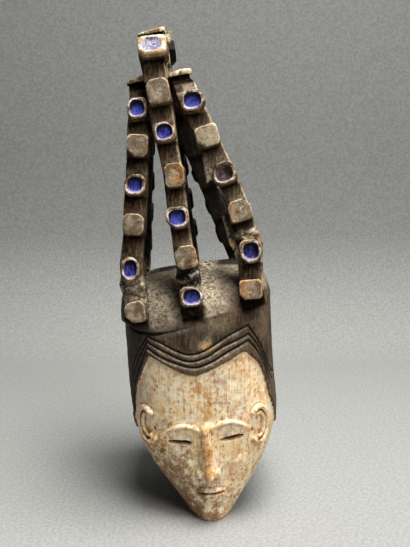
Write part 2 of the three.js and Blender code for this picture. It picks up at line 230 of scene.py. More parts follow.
def around(x, y, s):
    a = np.arctan2(x - shift(s), -y)
    return np.sign(a) * np.interp(np.abs(a), _angle, _round)


def around_front(x, s):
    return around(x, skin(x, s), s)


# ---- lines carved on the front, as (x, s) -------------------------------------------------
def curve(points, n=10):
    """A smooth line through points, as (round, s)."""
    p = np.array(points, float)
    p = np.stack([around_front(p[:, 0], p[:, 1]), p[:, 1]], 1)
    q = np.concatenate([[2 * p[0] - p[1]], p, [2 * p[-1] - p[-2]]])
    t = np.linspace(0, 1, n, endpoint=False)[:, None]
    out = []
    for a, b, c, d in zip(q, q[1:], q[2:], q[3:]):
        out.append(0.5 * (2 * b + (c - a) * t + (2 * a - 5 * b + 4 * c - d) * t ** 2 + (3 * b - a - 3 * c + d) * t ** 3))
    return np.concatenate(out + [p[-1:]])


def distance(line, u, s):
    best = np.full(u.shape, 1e9)
    for (a, b), (c, d) in zip(line, line[1:]):
        e, f = c - a, d - b
        t = np.clip(((u - a) * e + (s - b) * f) / max(e * e + f * f, 1e-9), 0, 1)
        best = np.minimum(best, (u - a - e * t) ** 2 + (s - b - f * t) ** 2)
    return np.sqrt(best)


HAIRLINE = np.concatenate([curve(c)[:-1] for c in (
    ((-83, 20), (-83, 95), (-81, 130), (-75, 160), (-64, 184), (-51.5, 207)),
    ((-51.5, 207), (-35, 196.5), (-10, 183), (7, 183.5), (30, 191.5), (54, 200)),
)] + [curve(((54, 200), (68, 181), (74.5, 155), (79, 128), (82, 95), (82, 20)))])
# Three engraved lines follow the hairline, each with a pointed peak over either temple.
GROOVES = []
for left, right, dips, low in (
    ((-53, 216), (59.4, 211), ((-34, 203.5), (-6, 191.8), (14.6, 194.7), (38, 204.3)), (0, 0)),
    ((-52, 223), (60.8, 217.6), ((-33, 211), (-10, 199), (10, 200.9), (33, 210.5)), (1, 3.4)),
    ((-50.8, 229.5), (61.4, 227.3), ((-37, 222), (-23.6, 213.4), (-9, 206.6), (5.2, 207), (22.5, 213.6), (40, 221.7)), (2, 6.2)),
):
    k, drop = low
    GROOVES.append(np.concatenate([
        curve(((-81 - drop * 0.9, 132 + 6 * k), (-76 - drop * 0.9, 162), (-66 - drop, 190 + drop), left))[:-1],
        curve((left, *dips, right))[:-1],
        curve((right, (68.6 + drop * 0.3, 194 + drop * 2), (75.5 + drop * 0.75, 171), (80.4 + drop * 0.7, 146 + 5 * k)))]))


def relief_table():
    """Height of the carving over the plain helmet, on a table of (round, s)."""
    step = 0.6
    u = np.arange(-200, 200.1, step)
    s = np.arange(-6, 292.1, step)
    U, S = np.meshgrid(u, s, indexing="ij")
    order = np.argsort(HAIRLINE[:, 0])
    line_s = np.interp(U, HAIRLINE[order, 0], HAIRLINE[order, 1], left=-50, right=-50)
    hair = distance(HAIRLINE, U, S) * np.where(S > line_s, 1, -1)
    height = -2.0 * (1 - smooth((hair + 0.6) / 2.2))
    grooves = np.full(U.shape, 99.0)
    for line in GROOVES:
        grooves = np.minimum(grooves, distance(line, U, S))
    height -= 2.1 * np.clip(1 - grooves / 1.7, 0, 1) ** 0.8
    # a low border of hair along the face
    height += 0.9 * smooth(hair / 2) * (1 - smooth((hair - 6.5) / 3))
    # upper part of the helmet, left a little thicker by the carver
    edge = 238.5 + 3.5 * np.sin(U / 23) + 0.05 * U
    left = smooth((12 - U) / 60)
    height += (1.2 + 2.2 * left) * smooth((S - edge) / 2.6) - 1.3 * left * bell(S - edge + 0.6, 1.8)

    # face, laid out by thirds
    ax = np.abs(U)
    face = smooth(-hair / 6)
    out = np.zeros_like(height)
    # brows: one thin raised arch over each eye
    t = np.clip((ax - 4) / (HALF_WIDTH * 0.60), 0, 1)
    brow = BROW_S - 4 + 13.5 * np.sin(np.pi * np.clip(t * 0.9 + 0.05, 0, 1)) - 10 * t ** 1.3
    slope = np.gradient(brow, step, axis=0)
    off = (S - brow) / np.sqrt(1 + slope ** 2)
    reach = smooth((HALF_WIDTH * 0.66 - ax) / 7) * smooth((ax - 1.5) / 4)
    # the field under the brows is sunk, the cheeks are full
    out -= 5.2 * np.exp(-np.abs((ax - EYE_X) / 22) ** 3.4 - np.abs((S - EYE_S + 1) / 16) ** 3.4) * smooth((brow - S + 1.5) / 4)
    out += 3.0 * np.exp(-((ax - 36) / 16) ** 2 - ((S - 70) / 16) ** 2)
    out -= 1.4 * np.exp(-((ax - 27) / 7) ** 2 - ((S - 46) / 12) ** 2)
    out += 4.4 * reach * np.clip(1 - (off / 3.7) ** 2, 0, 1) ** 0.7
    # lids: an almond mound, its crease, and the slit between the lids
    a = (ax - EYE_X) / (EYE_HALF * 1.28)
    ds = S - EYE_S - 0.05 * (ax - EYE_X)
    almond = np.clip(1 - a ** 2, 0, 1)
    out += 5.4 * np.clip(almond - (ds / 9.6) ** 2, 0, 1) ** 0.62
    out -= 1.3 * np.exp(-((ds - 7.6 * np.sqrt(almond)) / 1.0) ** 2) * smooth(almond * 4)
    out += 0.9 * np.exp(-((np.abs(ds) - 2.7 * np.sqrt(almond) - 1.5) / 1.1) ** 2) * smooth(almond * 5)
    # nose
    t = np.clip((BROW_S + 4 - S) / (BROW_S + 4 - NOSE_S), 0, 1)
    foot = smooth((S - NOSE_S + 1.6) / 3.2)
    head = smooth((BROW_S + 10 - S) / 10)
    ridge = mix(6.5, 18.5, t ** 1.1) * np.exp(-np.abs(ax / mix(6.2, 8.6, t ** 1.3)) ** 2.3)
    base = mix(3.0, 6.5, t) * np.exp(-np.abs(ax / mix(10.5, 14.5, t)) ** 3)
    tip = 2.4 * np.exp(-(ax / 7.0) ** 2 - ((S - NOSE_S - 7.5) / 6.5) ** 2)
    wing = 9.0 * np.clip(1 - ((ax - 10.4) / 5.4) ** 2 - ((S - NOSE_S - 5.2) / 6.6) ** 2, 0, 1) ** 0.6
    nose = np.maximum(ridge + tip, base)
    nose = np.maximum(nose, wing) + 0.35 * np.minimum(nose, wing)
    out = np.maximum(out, nose * foot * head)
    out -= 1.3 * np.exp(-((ax - 16.2) / 1.5) ** 2 - ((S - NOSE_S - 5) / 6) ** 2)
    out -= 4.5 * np.exp(-((ax - 6.6) / 2.6) ** 2 - ((S - NOSE_S - 0.4) / 1.7) ** 2)
    # mouth: closed, level, with full lips
    across = np.clip(1 - (ax / 20.5) ** 2, 0, 1)
    ds = S - MOUTH_S - 0.9 * (ax / 20) ** 2
    bow = (7.2 - 1.3 * np.exp(-(ax / 2.6) ** 2)) * across ** 0.55 + 0.01
    full = 8.2 * across ** 0.75 + 0.01
    lips = np.where(ds > 0, np.sin(np.pi * np.clip(ds / bow, 0, 1)) ** 0.62, np.sin(np.pi * np.clip(-ds / full, 0, 1) ** 0.9) ** 0.62)
    out += 2.6 * np.exp(-(ax / 24) ** 2 - ((S - MOUTH_S) / 12) ** 2)
    out += 5.6 * across ** 0.4 * lips
    out -= 4.8 * smooth((18.5 - ax) / 2) * np.exp(-(ds / 1.15) ** 2)
    out -= 1.0 * np.exp(-((ax - 21) / 2.2) ** 2 - (ds / 2.4) ** 2)
    out += 0.9 * np.exp(-((ax - 3.4) / 1.2) ** 2) * smooth((S - MOUTH_S - 6) / 3) * smooth((NOSE_S - 1 - S) / 3)
    out -= 1.6 * np.exp(-(ax / 11) ** 2 - ((S - MOUTH_S + 12.5) / 3.4) ** 2)
    # chin
    out += 4.2 * np.exp(-(ax / 15) ** 2 - ((S - 13) / 9.5) ** 2)
    height += out * face
    # a pitted chip on the cheek at -X
    chip = np.exp(-((U + 44) / 5.5) ** 2 - ((S - 48) / 7) ** 2)
    height -= 1.6 * chip
    # ears: two nested C-shaped ridges, open towards the face
    ear = np.zeros_like(height)
    for side, x in zip((-1, 1), EAR_X):
        at = EAR_AT - side * EAR_TILT
        du, ds = (U - around_front(x, at)) * side, S - at
        angle = np.degrees(np.arctan2(ds, du))  # 0 points to the back of the head
        for kw, kh, r, h, gape in ((1.08, 1.0, 3.3, 6.4, 134), (0.66, 0.66, 2.4, 4.6, 118)):
            e = np.sqrt((du / (EAR_W * kw)) ** 2 + (ds / (EAR_H * kh)) ** 2)
            gap = (e - 1) * np.hypot(du, ds) / np.maximum(e, 0.05)
            arc = smooth((gape - np.abs(angle)) / 12)
            ear = np.maximum(ear, h * np.clip(1 - (gap / (r * (0.55 + 0.45 * arc))) ** 2, 0, 1) ** 0.55 * arc)
        lobe = np.exp(-((du + 5) / 4.2) ** 2 - ((ds + EAR_H * 0.78) / 3.8) ** 2)
        ear = np.maximum(ear, 4.6 * lobe)
        hole = np.hypot(du + 9.5, (ds + 4) * 0.9)
        height -= 5.5 * np.clip(1 - hole / 2.6, 0, 1)
    height += ear
    ledge = np.maximum(np.abs(S - edge + 0.8) - 1.7 * smooth((-U - 28) / 24) * smooth((110 + U) / 40), 0) + 9 * (1 - left) + 5 * smooth((-U - 88) / 40)
    return u[0], s[0], step, height, hair, grooves, ledge


U0, S0, TSTEP, HEIGHT, HAIR, GROOVE, LEDGE = relief_table()
_gu, _gs = np.gradient(HEIGHT, TSTEP)
SLOPE = np.sqrt(1 + np.minimum(_gu ** 2 + _gs ** 2, 16))


def look(table, u, s):
    i = np.clip((u - U0) / TSTEP, 0, table.shape[0] - 1.001)
    j = np.clip((s - S0) / TSTEP, 0, table.shape[1] - 1.001)
    a, b = i.astype(int), j.astype(int)
    p, q = i - a, j - b
    return ((table[a, b] * (1 - p) + table[a + 1, b] * p) * (1 - q) + (table[a, b + 1] * (1 - p) + table[a + 1, b + 1] * p) * q)


# ---- arches -------------------------------------------------------------------------------
def arch_x(arch, y, s):
    cy, cs = arch["bend"]
    front = np.interp(s, arch["at"], arch["x"])
    rear = mix(arch["rear_x"][0], arch["rear_x"][1], np.clip((cs - s) / (cs - arch["rear"][1]), 0, 1))
    return mix(front, rear, smooth((y - (cy - BEND)) / (2 * BEND)))


def arch_half(arch, y, s):
    return mix(arch["width"][0], arch["width"][1], smooth((s - 380) / 130)) / 2 * mix(1, 0.86, smooth((y - arch["bend"][0]) / BEND))


def arch_band(arch, y, s):
    """Distance to the arch seen from the side, in (y, s)."""
    cy, cs = arch["bend"]
    out = np.full(np.broadcast(y, s).shape, 1e3)
    for foot, top in ((arch["foot"], (cy - BEND, cs)), (arch["rear"], (cy + BEND, cs))):
        dy, ds = top[0] - foot[0], top[1] - foot[1]
        far = math.hypot(dy, ds)
        ty, ts = dy / far, ds / far
        along = (y - foot[0]) * ty + (s - foot[1]) * ts
        off = np.abs((y - foot[0]) * ts - (s - foot[1]) * ty) - LEG_DEPTH / 2
        end = np.maximum(-along, along - far - 5)
        out = np.minimum(out, np.where((off > 0) & (end > 0), np.hypot(np.maximum(off, 0), np.maximum(end, 0)), np.maximum(off, end)))
    ring = np.abs(np.hypot(y - cy, s - cs) - BEND) - LEG_DEPTH / 2
    ring = np.maximum(ring, cs - s)
    return np.minimum(out, ring)


def scar(x, y, s):
    """The right-hand post's left side: mm it stands past its straight edge, mm in front of the leg's middle, and where it breaks off.
    It flares downwards, ends at a chip, is missing for a while and goes on as a strip set back from the face."""
    arch = ARCHES[2]
    (fy, fs), dy, ds = arch["foot"], arch["bend"][0] - BEND - arch["foot"][0], arch["bend"][1] - arch["foot"][1]
    o = ((s - fs) * dy - (y - fy) * ds) / math.hypot(dy, ds)
    chip = 383.5 + 0.65 * (x - 37) + 1.1 * np.sin(x * 1.9) + 0.8 * np.sin(y * 1.1 + x)
    flare = (1.8 + 8.0 * np.clip((416 - s) / 32, 0, 1)) * smooth((430 - s) / 12) * smooth((o + 3) / 5)
    gap = -0.5 - 3.0 * smooth((384 - s) / 12)
    strip = 8.2 * smooth((9.0 - o) / 1.2) * smooth((o + 8) / 4) * smooth((s - 306) / 8) - 2.6 * smooth((o - 8.0) / 1.2) * smooth((s - 312) / 8)
    return np.where(s > chip, flare, np.where(s > 346, gap, strip)), o, chip


rng = np.random.default_rng(11)
PEGS = []  # centre on the post's face, axis, across, up, half width, half height, reach, kind


def add_peg(x, y, s, tilt, turn, roll, w, h, reach, kind, tint=None, faded=0.0, slab=(0, 0, 0)):
    axis = np.array([math.sin(turn), -math.cos(turn) * math.cos(tilt), math.sin(tilt)])
    axis /= np.linalg.norm(axis)
    right = np.array([math.cos(turn), math.sin(turn), 0.0])
    up = np.cross(axis, right)
    up /= np.linalg.norm(up)
    right = np.cross(up, axis)
    right, up = right * math.cos(roll) + up * math.sin(roll), up * math.cos(roll) - right * math.sin(roll)
    seed = len(PEGS)
    cuts = rng.uniform(1.2, 3.8, 4)
    cuts[seed % 4] += 2.2
    if kind:
        cuts = cuts * (0, 0, 0.75, 0.4)[kind] if kind > 1 else cuts + 1.6
    PEGS.append(dict(at=np.array([x, y, s], float), axis=axis, right=right, up=up, w=w / 2, h=h / 2, reach=reach, kind=kind,
                     cuts=cuts, wave=rng.uniform(-1, 1, 4), seed=seed, faded=faded, slab=slab,
                     tint=0.5 + 0.5 * math.sin(seed * 7.13 + 1.7) if tint is None else tint))


def peg_side(k, a, b, o):
    """Distance in the peg's own cross-section from its sides: a square with four unequal cut corners."""
    t = clamp01((o + 2) / (k["reach"] + 2))
    w, h = k["w"] * (1.03 - 0.05 * t), k["h"] * (1.03 - 0.05 * t)
    wave = k["wave"]
    a = a + 0.035 * wave[0] * b
    b = b + 0.035 * wave[1] * a
    soft = 1.5 if k["kind"] in (1, 2) else 0.7
    side = smax(np.abs(a) - w, np.abs(b) - h, soft)
    for n, (ca, cb) in enumerate(((1, 1), (-1, 1), (-1, -1), (1, -1))):
        cut = (a * ca + b * cb) * 0.70711 - (w + h) * 0.70711 + k["cuts"][n]
        side = smax(side, cut, soft)
    return side


def bowl_size(k):
    """Half width, half height, depth and squareness of a socket."""
    if k["kind"] == 1:
        return k["w"] * 0.71, k["h"] * 0.71, SOCKET, 2.7
    return k["w"] * 0.69, k["h"] * 0.71, 2.8, 2.8


for number, arch in enumerate(ARCHES):
    cy, cs = arch["bend"]
    fy, fs = arch["foot"]
    lean = math.atan2(cy - BEND - fy, cs - fs)
    for s, w, h, kind in arch["front"]:
        w, h = (w * 0.95, h * 0.94) if kind else (w, h)
        y = fy + (s - fs) * math.tan(lean)
        slope = (arch_x(arch, y, s + 12) - arch_x(arch, y, s - 12)) / 24 if s > 290 else 0.0
        dx, ds = OFFSETS.get((number, s), (0, 0))
        add_peg(arch_x(arch, y, s) + dx + rng.uniform(-0.4, 0.4), y - LEG_DEPTH / 2 * math.cos(lean), s + ds + LEG_DEPTH / 2 * math.sin(lean) - 6,
                lean + math.radians(2 + rng.uniform(-2.5, 2.5)), math.radians(rng.uniform(-2.5, 2.5)), -math.atan(slope) * (0.6 if number == 2 else 1.0) + math.radians(rng.uniform(-2.5, 2.5)),
                w, h, REACH * rng.uniform(0.93, 1.03), kind, TINTS.get((number, s)), float((number, s) == FADED))
    for deg, w, h, kind, reach in arch["crown"]:
        a = math.radians(deg)
        r = BEND + LEG_DEPTH / 2
        back = deg > 90
        add_peg(float(arch_x(arch, cy - BEND * math.cos(a), cs + BEND * math.sin(a))) + 2.0 * (kind == 2) + 5.0 * (deg == 141), cy - r * math.cos(a), cs + r * math.sin(a),
                math.pi - a if back else a, math.pi if back else 0.0, math.radians(rng.uniform(-4, 4)), w, h, reach, kind, slab=arch["slab"])
    ry, rs = arch["rear"]
    lean = math.atan2(ry - cy - BEND, cs - rs)
    for s in arch["back"]:
        y = cy + BEND + (cs - s) * math.tan(lean)
        slope = (arch_x(arch, y, s + 12) - arch_x(arch, y, s - 12)) / 24
        add_peg(float(arch_x(arch, y, s)), y + LEG_DEPTH / 2 * math.cos(lean), s + LEG_DEPTH / 2 * math.sin(lean), lean,
                math.pi + math.radians(rng.uniform(-3, 3)), math.atan(slope) + math.radians(rng.uniform(-4, 4)),
                (24.0, 24.5, 27.0)[number] * rng.uniform(0.95, 1.05), 22.5 * rng.uniform(0.94, 1.06), REACH * rng.uniform(0.88, 1.0), 0)


# ---- the field ----------------------------------------------------------------------------
LOW, HIGH = np.array([-102.0, -135.0, -3.6]), np.array([97.0, 113.0, 564.0])
AX = [np.arange(LOW[k], HIGH[k] + STEP, STEP) for k in range(3)]
SHAPE = tuple(len(a) for a in AX)


def span(k, low, high):
    a = max(0, int((low - LOW[k]) / STEP) - 1)
    b = min(SHAPE[k], int((high - LOW[k]) / STEP) + 3)
    return slice(a, b)


def window(low, high):
    w = tuple(span(k, low[k], high[k]) for k in range(3))
    return w, AX[0][w[0]][:, None, None], AX[1][w[1]][None, :, None], AX[2][w[2]][None, None, :]


field = np.full(SHAPE, 20.0, F)
w, X, Y, S = window(LOW, (HIGH[0], HIGH[1], TOP_S + 12))
body = helmet(X, Y, S)
g = np.gradient(body, STEP)
size = np.sqrt(g[0] ** 2 + g[1] ** 2 + g[2] ** 2)
body /= np.clip(size, 0.4, 3.0)
del g, size
OUTER = np.clip(body, -30, 30).astype(F)
# carve the front's relief into the outer surface
near = (OUTER > -10) & (OUTER < 23) & (Y < 62) & (S > -8)
ix, iy, iz = np.nonzero(near)
px, py, ps = AX[0][ix], AX[1][iy], AX[2][iz]
pu = around(px, py, ps)
fade = smooth((150 - np.abs(pu)) / 20)
body[near] = ((OUTER[near] - look(HEIGHT, pu, ps) * fade) / look(SLOPE, pu, ps)).astype(F)
body[OUTER >= 23] = OUTER[OUTER >= 23]
del near, ix, iy, iz, px, py, ps, pu, fade
cavity = helmet(X, Y, S, WALL, SHOULDER_S - CROWN_WALL - 8, TOP_S - CROWN_WALL)
body = np.maximum(body, -cavity)
rho = np.sqrt(((Y - ARCH_Y) / ARCH_HALF) ** 2 + (np.maximum(S, 0) / ARCH_HIGH) ** 2)
arch_gap = np.hypot(Y - ARCH_Y, S) * (1 - 1 / np.maximum(rho, 0.05))
body = smax(body, -arch_gap.astype(F), F(1.6))
# slits through the wall at the eyes
for side in (-1, 1):
    cx = side * EYE_X
    e, ex, ey, es = window((cx - 24, LOW[1], EYE_S - 10), (cx + 24, -50, EYE_S + 10))
    reach = around(ex + 0 * es, ey + 0 * ex + 0 * es, es + 0 * ex) * side - EYE_X
    a = reach / EYE_HALF
    lid = 3.1 * np.sqrt(np.clip(1 - a ** 2, 0, 1))
    cut = np.maximum(np.abs(es - EYE_S - 0.05 * reach) - lid, (np.abs(a) - 1) * EYE_HALF)
    body[e] = np.maximum(body[e], -cut.astype(F))
field[w] = body
del body, cavity, rho, arch_gap

for arch in ARCHES:
    xs = [*arch["x"], *arch["rear_x"]]
    w, X, Y, S = window((min(xs) - 17, LOW[1], RIB_S - 8), (max(xs) + 17, HIGH[1], arch["bend"][1] + BEND + 17))
    band = arch_band(arch, Y[0], S[0])
    place, half = arch_x(arch, Y[0], S[0]), arch_half(arch, Y[0], S[0])
    half = half * (1 + 0.035 * np.sin(S[0] / 13.0 + Y[0] / 31.0))
    across = np.abs(X - place[None]) - half[None]
    if arch is ARCHES[2]:
        flare = scar(X + 0 * Y + 0 * S, Y + 0 * X + 0 * S, S + 0 * X + 0 * Y)[0]
        front = smooth((arch["bend"][0] - 22 - Y) / 8) * smooth((S - 296) / 10)
        across = np.maximum(X - place[None] - half[None], place[None] - half[None] - X - flare * front)
    band = band[None] + 0 * X
    r = 2.2
    bar = np.hypot(np.maximum(across + r, 0), np.maximum(band + r, 0)) + np.minimum(np.maximum(across, band) + r, 0) - r
    field[w] = smin(field[w], bar.astype(F), F(2.2))
    del across, band, bar

for p in PEGS:
    c = p["at"] + p["axis"] * (p["reach"] - ROOT) / 2
    w, X, Y, S = window(c - 27, c + 27)
    d = [X - p["at"][0], Y - p["at"][1], S - p["at"][2]]
    a, b, o = (sum(d[k] * p[v][k] for k in range(3)) for v in ("right", "up", "axis"))
    side = peg_side(p, a, b, o)
    tip = o - p["reach"] + 0.45 * np.sin(a / 5 + p["seed"]) + 0.05 * (a * p["wave"][2] + b * p["wave"][3])
    if p["kind"] == 3:
        # a thin slab with a chipped outline, standing past its own neck
        q = np.stack([(X + 0 * side).ravel(), (Y + 0 * side).ravel(), (S + 0 * side).ravel()], 1)
        chips = noise(q, (4.5, 6, 6), 40 + p["seed"]).reshape(side.shape)
        level = o - p["slab"][0] * a + p["slab"][1] * a ** 2 - p["slab"][2]
        side = side + 3.2 * smooth((p["reach"] - 4.8 - level + 1.2 * chips) / 0.8) + 2.2 * np.maximum(chips - 0.05, 0)
        tip = level - p["reach"] + 0.9 * np.maximum(-chips, 0) - 0.2
    end = np.maximum(tip, -ROOT - o)
    e = (0.8, 1.4, 1.8, 0.3)[p["kind"]]
    peg = np.hypot(np.maximum(side + e, 0), np.maximum(end + e, 0)) + np.minimum(np.maximum(side, end) + e, 0) - e
    if p["kind"] in (1, 2):
        ra, rb, depth, n = bowl_size(p)
        bowl = ((np.abs(a) / ra) ** n + (np.abs(b) / rb) ** n) ** (1 / n)
        bowl = (bowl ** 2.8 + (np.abs(o - p["reach"] - 0.6) / (depth + 0.6)) ** 2.8) ** (1 / 2.8)
        peg = smax(peg, (1 - bowl) * min(ra, rb) * 0.9, 0.7)
    field[w] = smin(field[w], peg.astype(F), F(1.2))

split = np.array(SPLIT)
w, X, Y, S = window(split - 14, split + 14)
a, b = X - split[0] - 0.2 * (S - split[2]), S - split[2]
splinter = np.maximum(np.maximum(np.abs(a) - 4.4 + 0.18 * np.maximum(-b, 0), np.abs(Y - split[1]) - 3.5), np.abs(b + 0.15 * a) - 6.2)
field[w] = smin(field[w], splinter.astype(F), F(0.8))

for x, y, s, rx, ry, rs, thick, gloss in REPAIRS:
    w, X, Y, S = window((x - rx - 8, y - ry - 8, s - rs - 8), (x + rx + 8, y + ry + 8, s + rs + 8))
    e = np.sqrt(((X - x) / rx) ** 2 + ((Y - y) / ry) ** 2 + ((S - s) / rs) ** 2)
    wave = 1 + 0.35 * np.sin((X - x) / 2.7 + s) * np.sin((Y - y) / 3.3) + 0.35 * np.sin((S - s) / 2.9 + x + (X - x) / 4)
    field[w] -= (thick * wave * smooth((1.15 - e) / 0.45)).astype(F)

for x, y, s, long, thick in RIDGES:
    w, X, Y, S = window((x - long - 8, y - 14, s - 10), (x + long + 8, y + 14, s + 10))
    sag = s + 1.3 * np.sin((X - x) / 3.4) + 0.02 * (X - x) ** 2
    line = np.sqrt(np.maximum(np.abs(X - x) - long, 0) ** 2 + (S - sag) ** 2)
    near = smooth((3.0 - np.abs(field[w])) / 2.5)
    field[w] -= (thick * near * smooth((2.6 - line) / 2.0)).astype(F)

w, X, Y, S = window(LOW, HIGH)
field = np.maximum(field, -S.astype(F))


# ---- mesh from the field ------------------------------------------------------------------
def surface(f):
    inside = f < 0
    n = np.zeros(tuple(k - 1 for k in f.shape), np.uint8)
    corner = [(a, b, c) for a in (0, 1) for b in (0, 1) for c in (0, 1)]

    def part(g, a, b, c):
        return g[a:g.shape[0] - 1 + a, b:g.shape[1] - 1 + b, c:g.shape[2] - 1 + c]

    for c in corner:
        n += part(inside, *c)
    I, J, K = np.nonzero((n > 0) & (n < 8))
    ids = np.full(n.shape, -1, np.int32)
    ids[I, J, K] = np.arange(len(I))
    values = {c: f[I + c[0], J + c[1], K + c[2]].astype(float) for c in corner}
    total, count = np.zeros((len(I), 3)), np.zeros(len(I))
    for c in corner:
        for k in range(3):
            if c[k]:
                continue
            d = tuple(c[i] + (i == k) for i in range(3))
            va, vb = values[c], values[d]
            m = (va < 0) != (vb < 0)
            t = va[m] / (va[m] - vb[m])
            q = np.tile(np.array(c, float), (m.sum(), 1))
            q[:, k] += t
            total[m] += q
            count[m] += 1
    verts = (total / count[:, None] + np.stack([I, J, K], 1)) * STEP + LOW
    quads = []
    for k in range(3):
        lo = [slice(1, -1)] * 3
        lo[k] = slice(0, -1)
        hi = list(lo)
        hi[k] = slice(1, None)
        a, b = inside[tuple(lo)], inside[tuple(hi)]
        P = np.array(np.nonzero(a != b))
        out = a[tuple(P)]
        base = [slice(1, -1)] * 3
        base[k] = slice(0, -1)
        for i in range(3):
            if i != k:
                P[i] += 1
        i, j = [(1, 2), (2, 0), (0, 1)][k]

        def cell(di, dj):
            q = P.copy()
            q[i] += di
            q[j] += dj
            return ids[tuple(q)]

        q = np.stack([cell(-1, -1), cell(0, -1), cell(0, 0), cell(-1, 0)], 1)
        q[~out] = q[~out][:, ::-1]
        quads.append(q)
    return verts, np.concatenate(quads)


def sample(f, p):
    """The field's value at points p, between grid points."""
    q = (p - LOW) / STEP
    i = np.clip(np.floor(q).astype(int), 0, np.array(f.shape) - 2)
    t = np.clip(q - i, 0, 1)
    out = np.zeros(len(p))
    for a in (0, 1):
        for b in (0, 1):
            for c in (0, 1):
                w = (t[:, 0] if a else 1 - t[:, 0]) * (t[:, 1] if b else 1 - t[:, 1]) * (t[:, 2] if c else 1 - t[:, 2])
                out += w * f[i[:, 0] + a, i[:, 1] + b, i[:, 2] + c]
    return out


def normals(f, p, d=0.8):
    n = np.stack([sample(f, p + d * e) - sample(f, p - d * e) for e in np.eye(3)], 1)
    return n / np.maximum(np.linalg.norm(n, axis=1), 1e-6)[:, None]


verts, quads = surface(field)


def blurred(f, r):
    g = np.clip(f, -9, 9)
    for k in range(3):
        pad = [(0, 0)] * 3
        pad[k] = (r + 1, r)
        c = np.cumsum(np.pad(g, pad, mode="edge"), axis=k, dtype=np.float64)
        n = 2 * r + 1
        hi = [slice(None)] * 3
        lo = [slice(None)] * 3
        hi[k], lo[k] = slice(n, None), slice(0, -n)
        g = ((c[tuple(hi)] - c[tuple(lo)]) / n).astype(F)
    return g


soft = blurred(field, max(1, round(3.0 / STEP)))


def peg_parts(p):
    """For points p: how far they are on a peg, in the painted shade under one, and in the dust and painted light over
    one.
    """
    on, under, above = np.zeros(len(p)), np.zeros(len(p)), np.zeros(len(p))
    for k in PEGS:
        d = p - k["at"]
        m = np.nonzero((np.abs(d) < 44).all(1))[0]
        if not len(m):
            continue
        a, b, o = d[m] @ k["right"], d[m] @ k["up"], d[m] @ k["axis"]
        side = peg_side(k, a, b, o)
        on[m] = np.maximum(on[m], smooth((1.6 - side) / 1.2) * smooth((o - 0.5) / 1.5))
        # soot and dirt stay here
        # painted shade under each peg, where its shadow falls
        low = -b - k["h"]
        under[m] = np.maximum(under[m], smooth((k["w"] + 3 - np.abs(a)) / 4) * smooth((low + 2) / 2) * np.exp(-(np.maximum(low, 0) / 10) ** 1.6) * smooth((4 - o) / 3) * (k["kind"] != 3))
        if k["axis"][1] < 0 and k["kind"] != 3:
            high = b - k["h"]
            much = 1.0 if k["at"][2] > 440 and k["kind"] == 1 and abs(k["at"][0]) > 15 else 0.55 * (k["at"][2] > 285)
            above[m] = np.maximum(above[m], much * smooth((high + 1) / 2) * np.exp(-(np.maximum(high, 0) / 9) ** 2) * smooth((5 - o) / 3) * smooth((o + 5) / 3))
        elif k["kind"] == 3:
            # the neck under a slab is painted black as shade
            under[m] = np.maximum(under[m], smooth((k["w"] + 4 - np.abs(a)) / 3) * smooth((k["reach"] - 4.0 - o) / 1.5) * smooth((o + 7) / 3) * (b < -3))
    # painted shade below each post's foot
    for arch in ARCHES:
        fy, fs = arch["foot"]
        x = arch_x(arch, np.array(fy), np.array(fs + 4.0))
        wide = arch["width"][0] / 2
        below = fs + 12.0 - p[:, 2]
        under = np.maximum(under, smooth((wide + 3 - np.abs(p[:, 0] - x)) / 3) * smooth((below + 2) / 4) * np.exp(-(np.maximum(below - 15, 0) / 4.0) ** 2) * (p[:, 1] < -60) * (1 - on))
    return on, under, above


def peg_place(p):
    """For points p, in the frame of the nearest peg: the place across and up in half sizes, mm out from its face, and what the peg is."""
    names = ("pa", "pb", "po", "sock", "white", "cap", "faded", "tint", "which")
    out = {name: np.zeros(len(p)) for name in names}
    out["pa"] += 3
    out["pb"] += 3
    out["po"] -= 30
    best = np.full(len(p), 1e9)
    for k in PEGS:
        d = p - k["at"]
        m = np.nonzero((np.abs(d) < 44).all(1))[0]
        if not len(m):
            continue
        a, b, o = d[m] @ k["right"], d[m] @ k["up"], d[m] @ k["axis"]
        far = np.maximum(np.maximum(np.abs(a) - k["w"], np.abs(b) - k["h"]), 0) + np.maximum(o - k["reach"], 0) + 3 * np.maximum(-o - 2, 0)
        near = far < best[m]
        m, a, b, o = m[near], a[near], b[near], o[near]
        best[m] = far[near]
        given = (a / k["w"], b / k["h"], o - k["reach"], k["kind"] == 1, k["kind"] == 2, k["kind"] == 3, k["faded"], k["tint"], 0.5 + 0.5 * math.sin(k["seed"] * 12.9898))
        for name, value in zip(names, given):
            out[name][m] = value
    m = (np.abs(p - np.array(SPLIT)) < (6.5, 6.0, 8.0)).all(1) & (p[:, 0] > SPLIT[0] - 2.5)
    out["cap"][m], out["po"][m] = 1, -2
    return out


def repair_mask(p):
    out = np.zeros(len(p))
    shine = np.zeros(len(p))
    for x, y, s, rx, ry, rs, thick, gloss in REPAIRS:
        e = np.sqrt(((p[:, 0] - x) / rx) ** 2 + ((p[:, 1] - y) / ry) ** 2 + ((p[:, 2] - s) / rs) ** 2)
        here = smooth((1.2 - e) / 0.3)
        out = np.maximum(out, here)
        shine = np.maximum(shine, here * gloss)
    string = np.zeros(len(p))
    for x, y, s, long, thick in RIDGES:
        sag = s + 1.3 * np.sin((p[:, 0] - x) / 3.4) + 0.02 * (p[:, 0] - x) ** 2
        line = np.sqrt(np.maximum(np.abs(p[:, 0] - x) - long, 0) ** 2 + (p[:, 2] - sag) ** 2 + 0.04 * (p[:, 1] - y) ** 2)
        string = np.maximum(string, smooth((2.6 - line) / 2.0) * (0.35 if x == 1 else 1.0))
    return out, shine, string


def round_s(p):
    return around(p[:, 0], p[:, 1], p[:, 2])


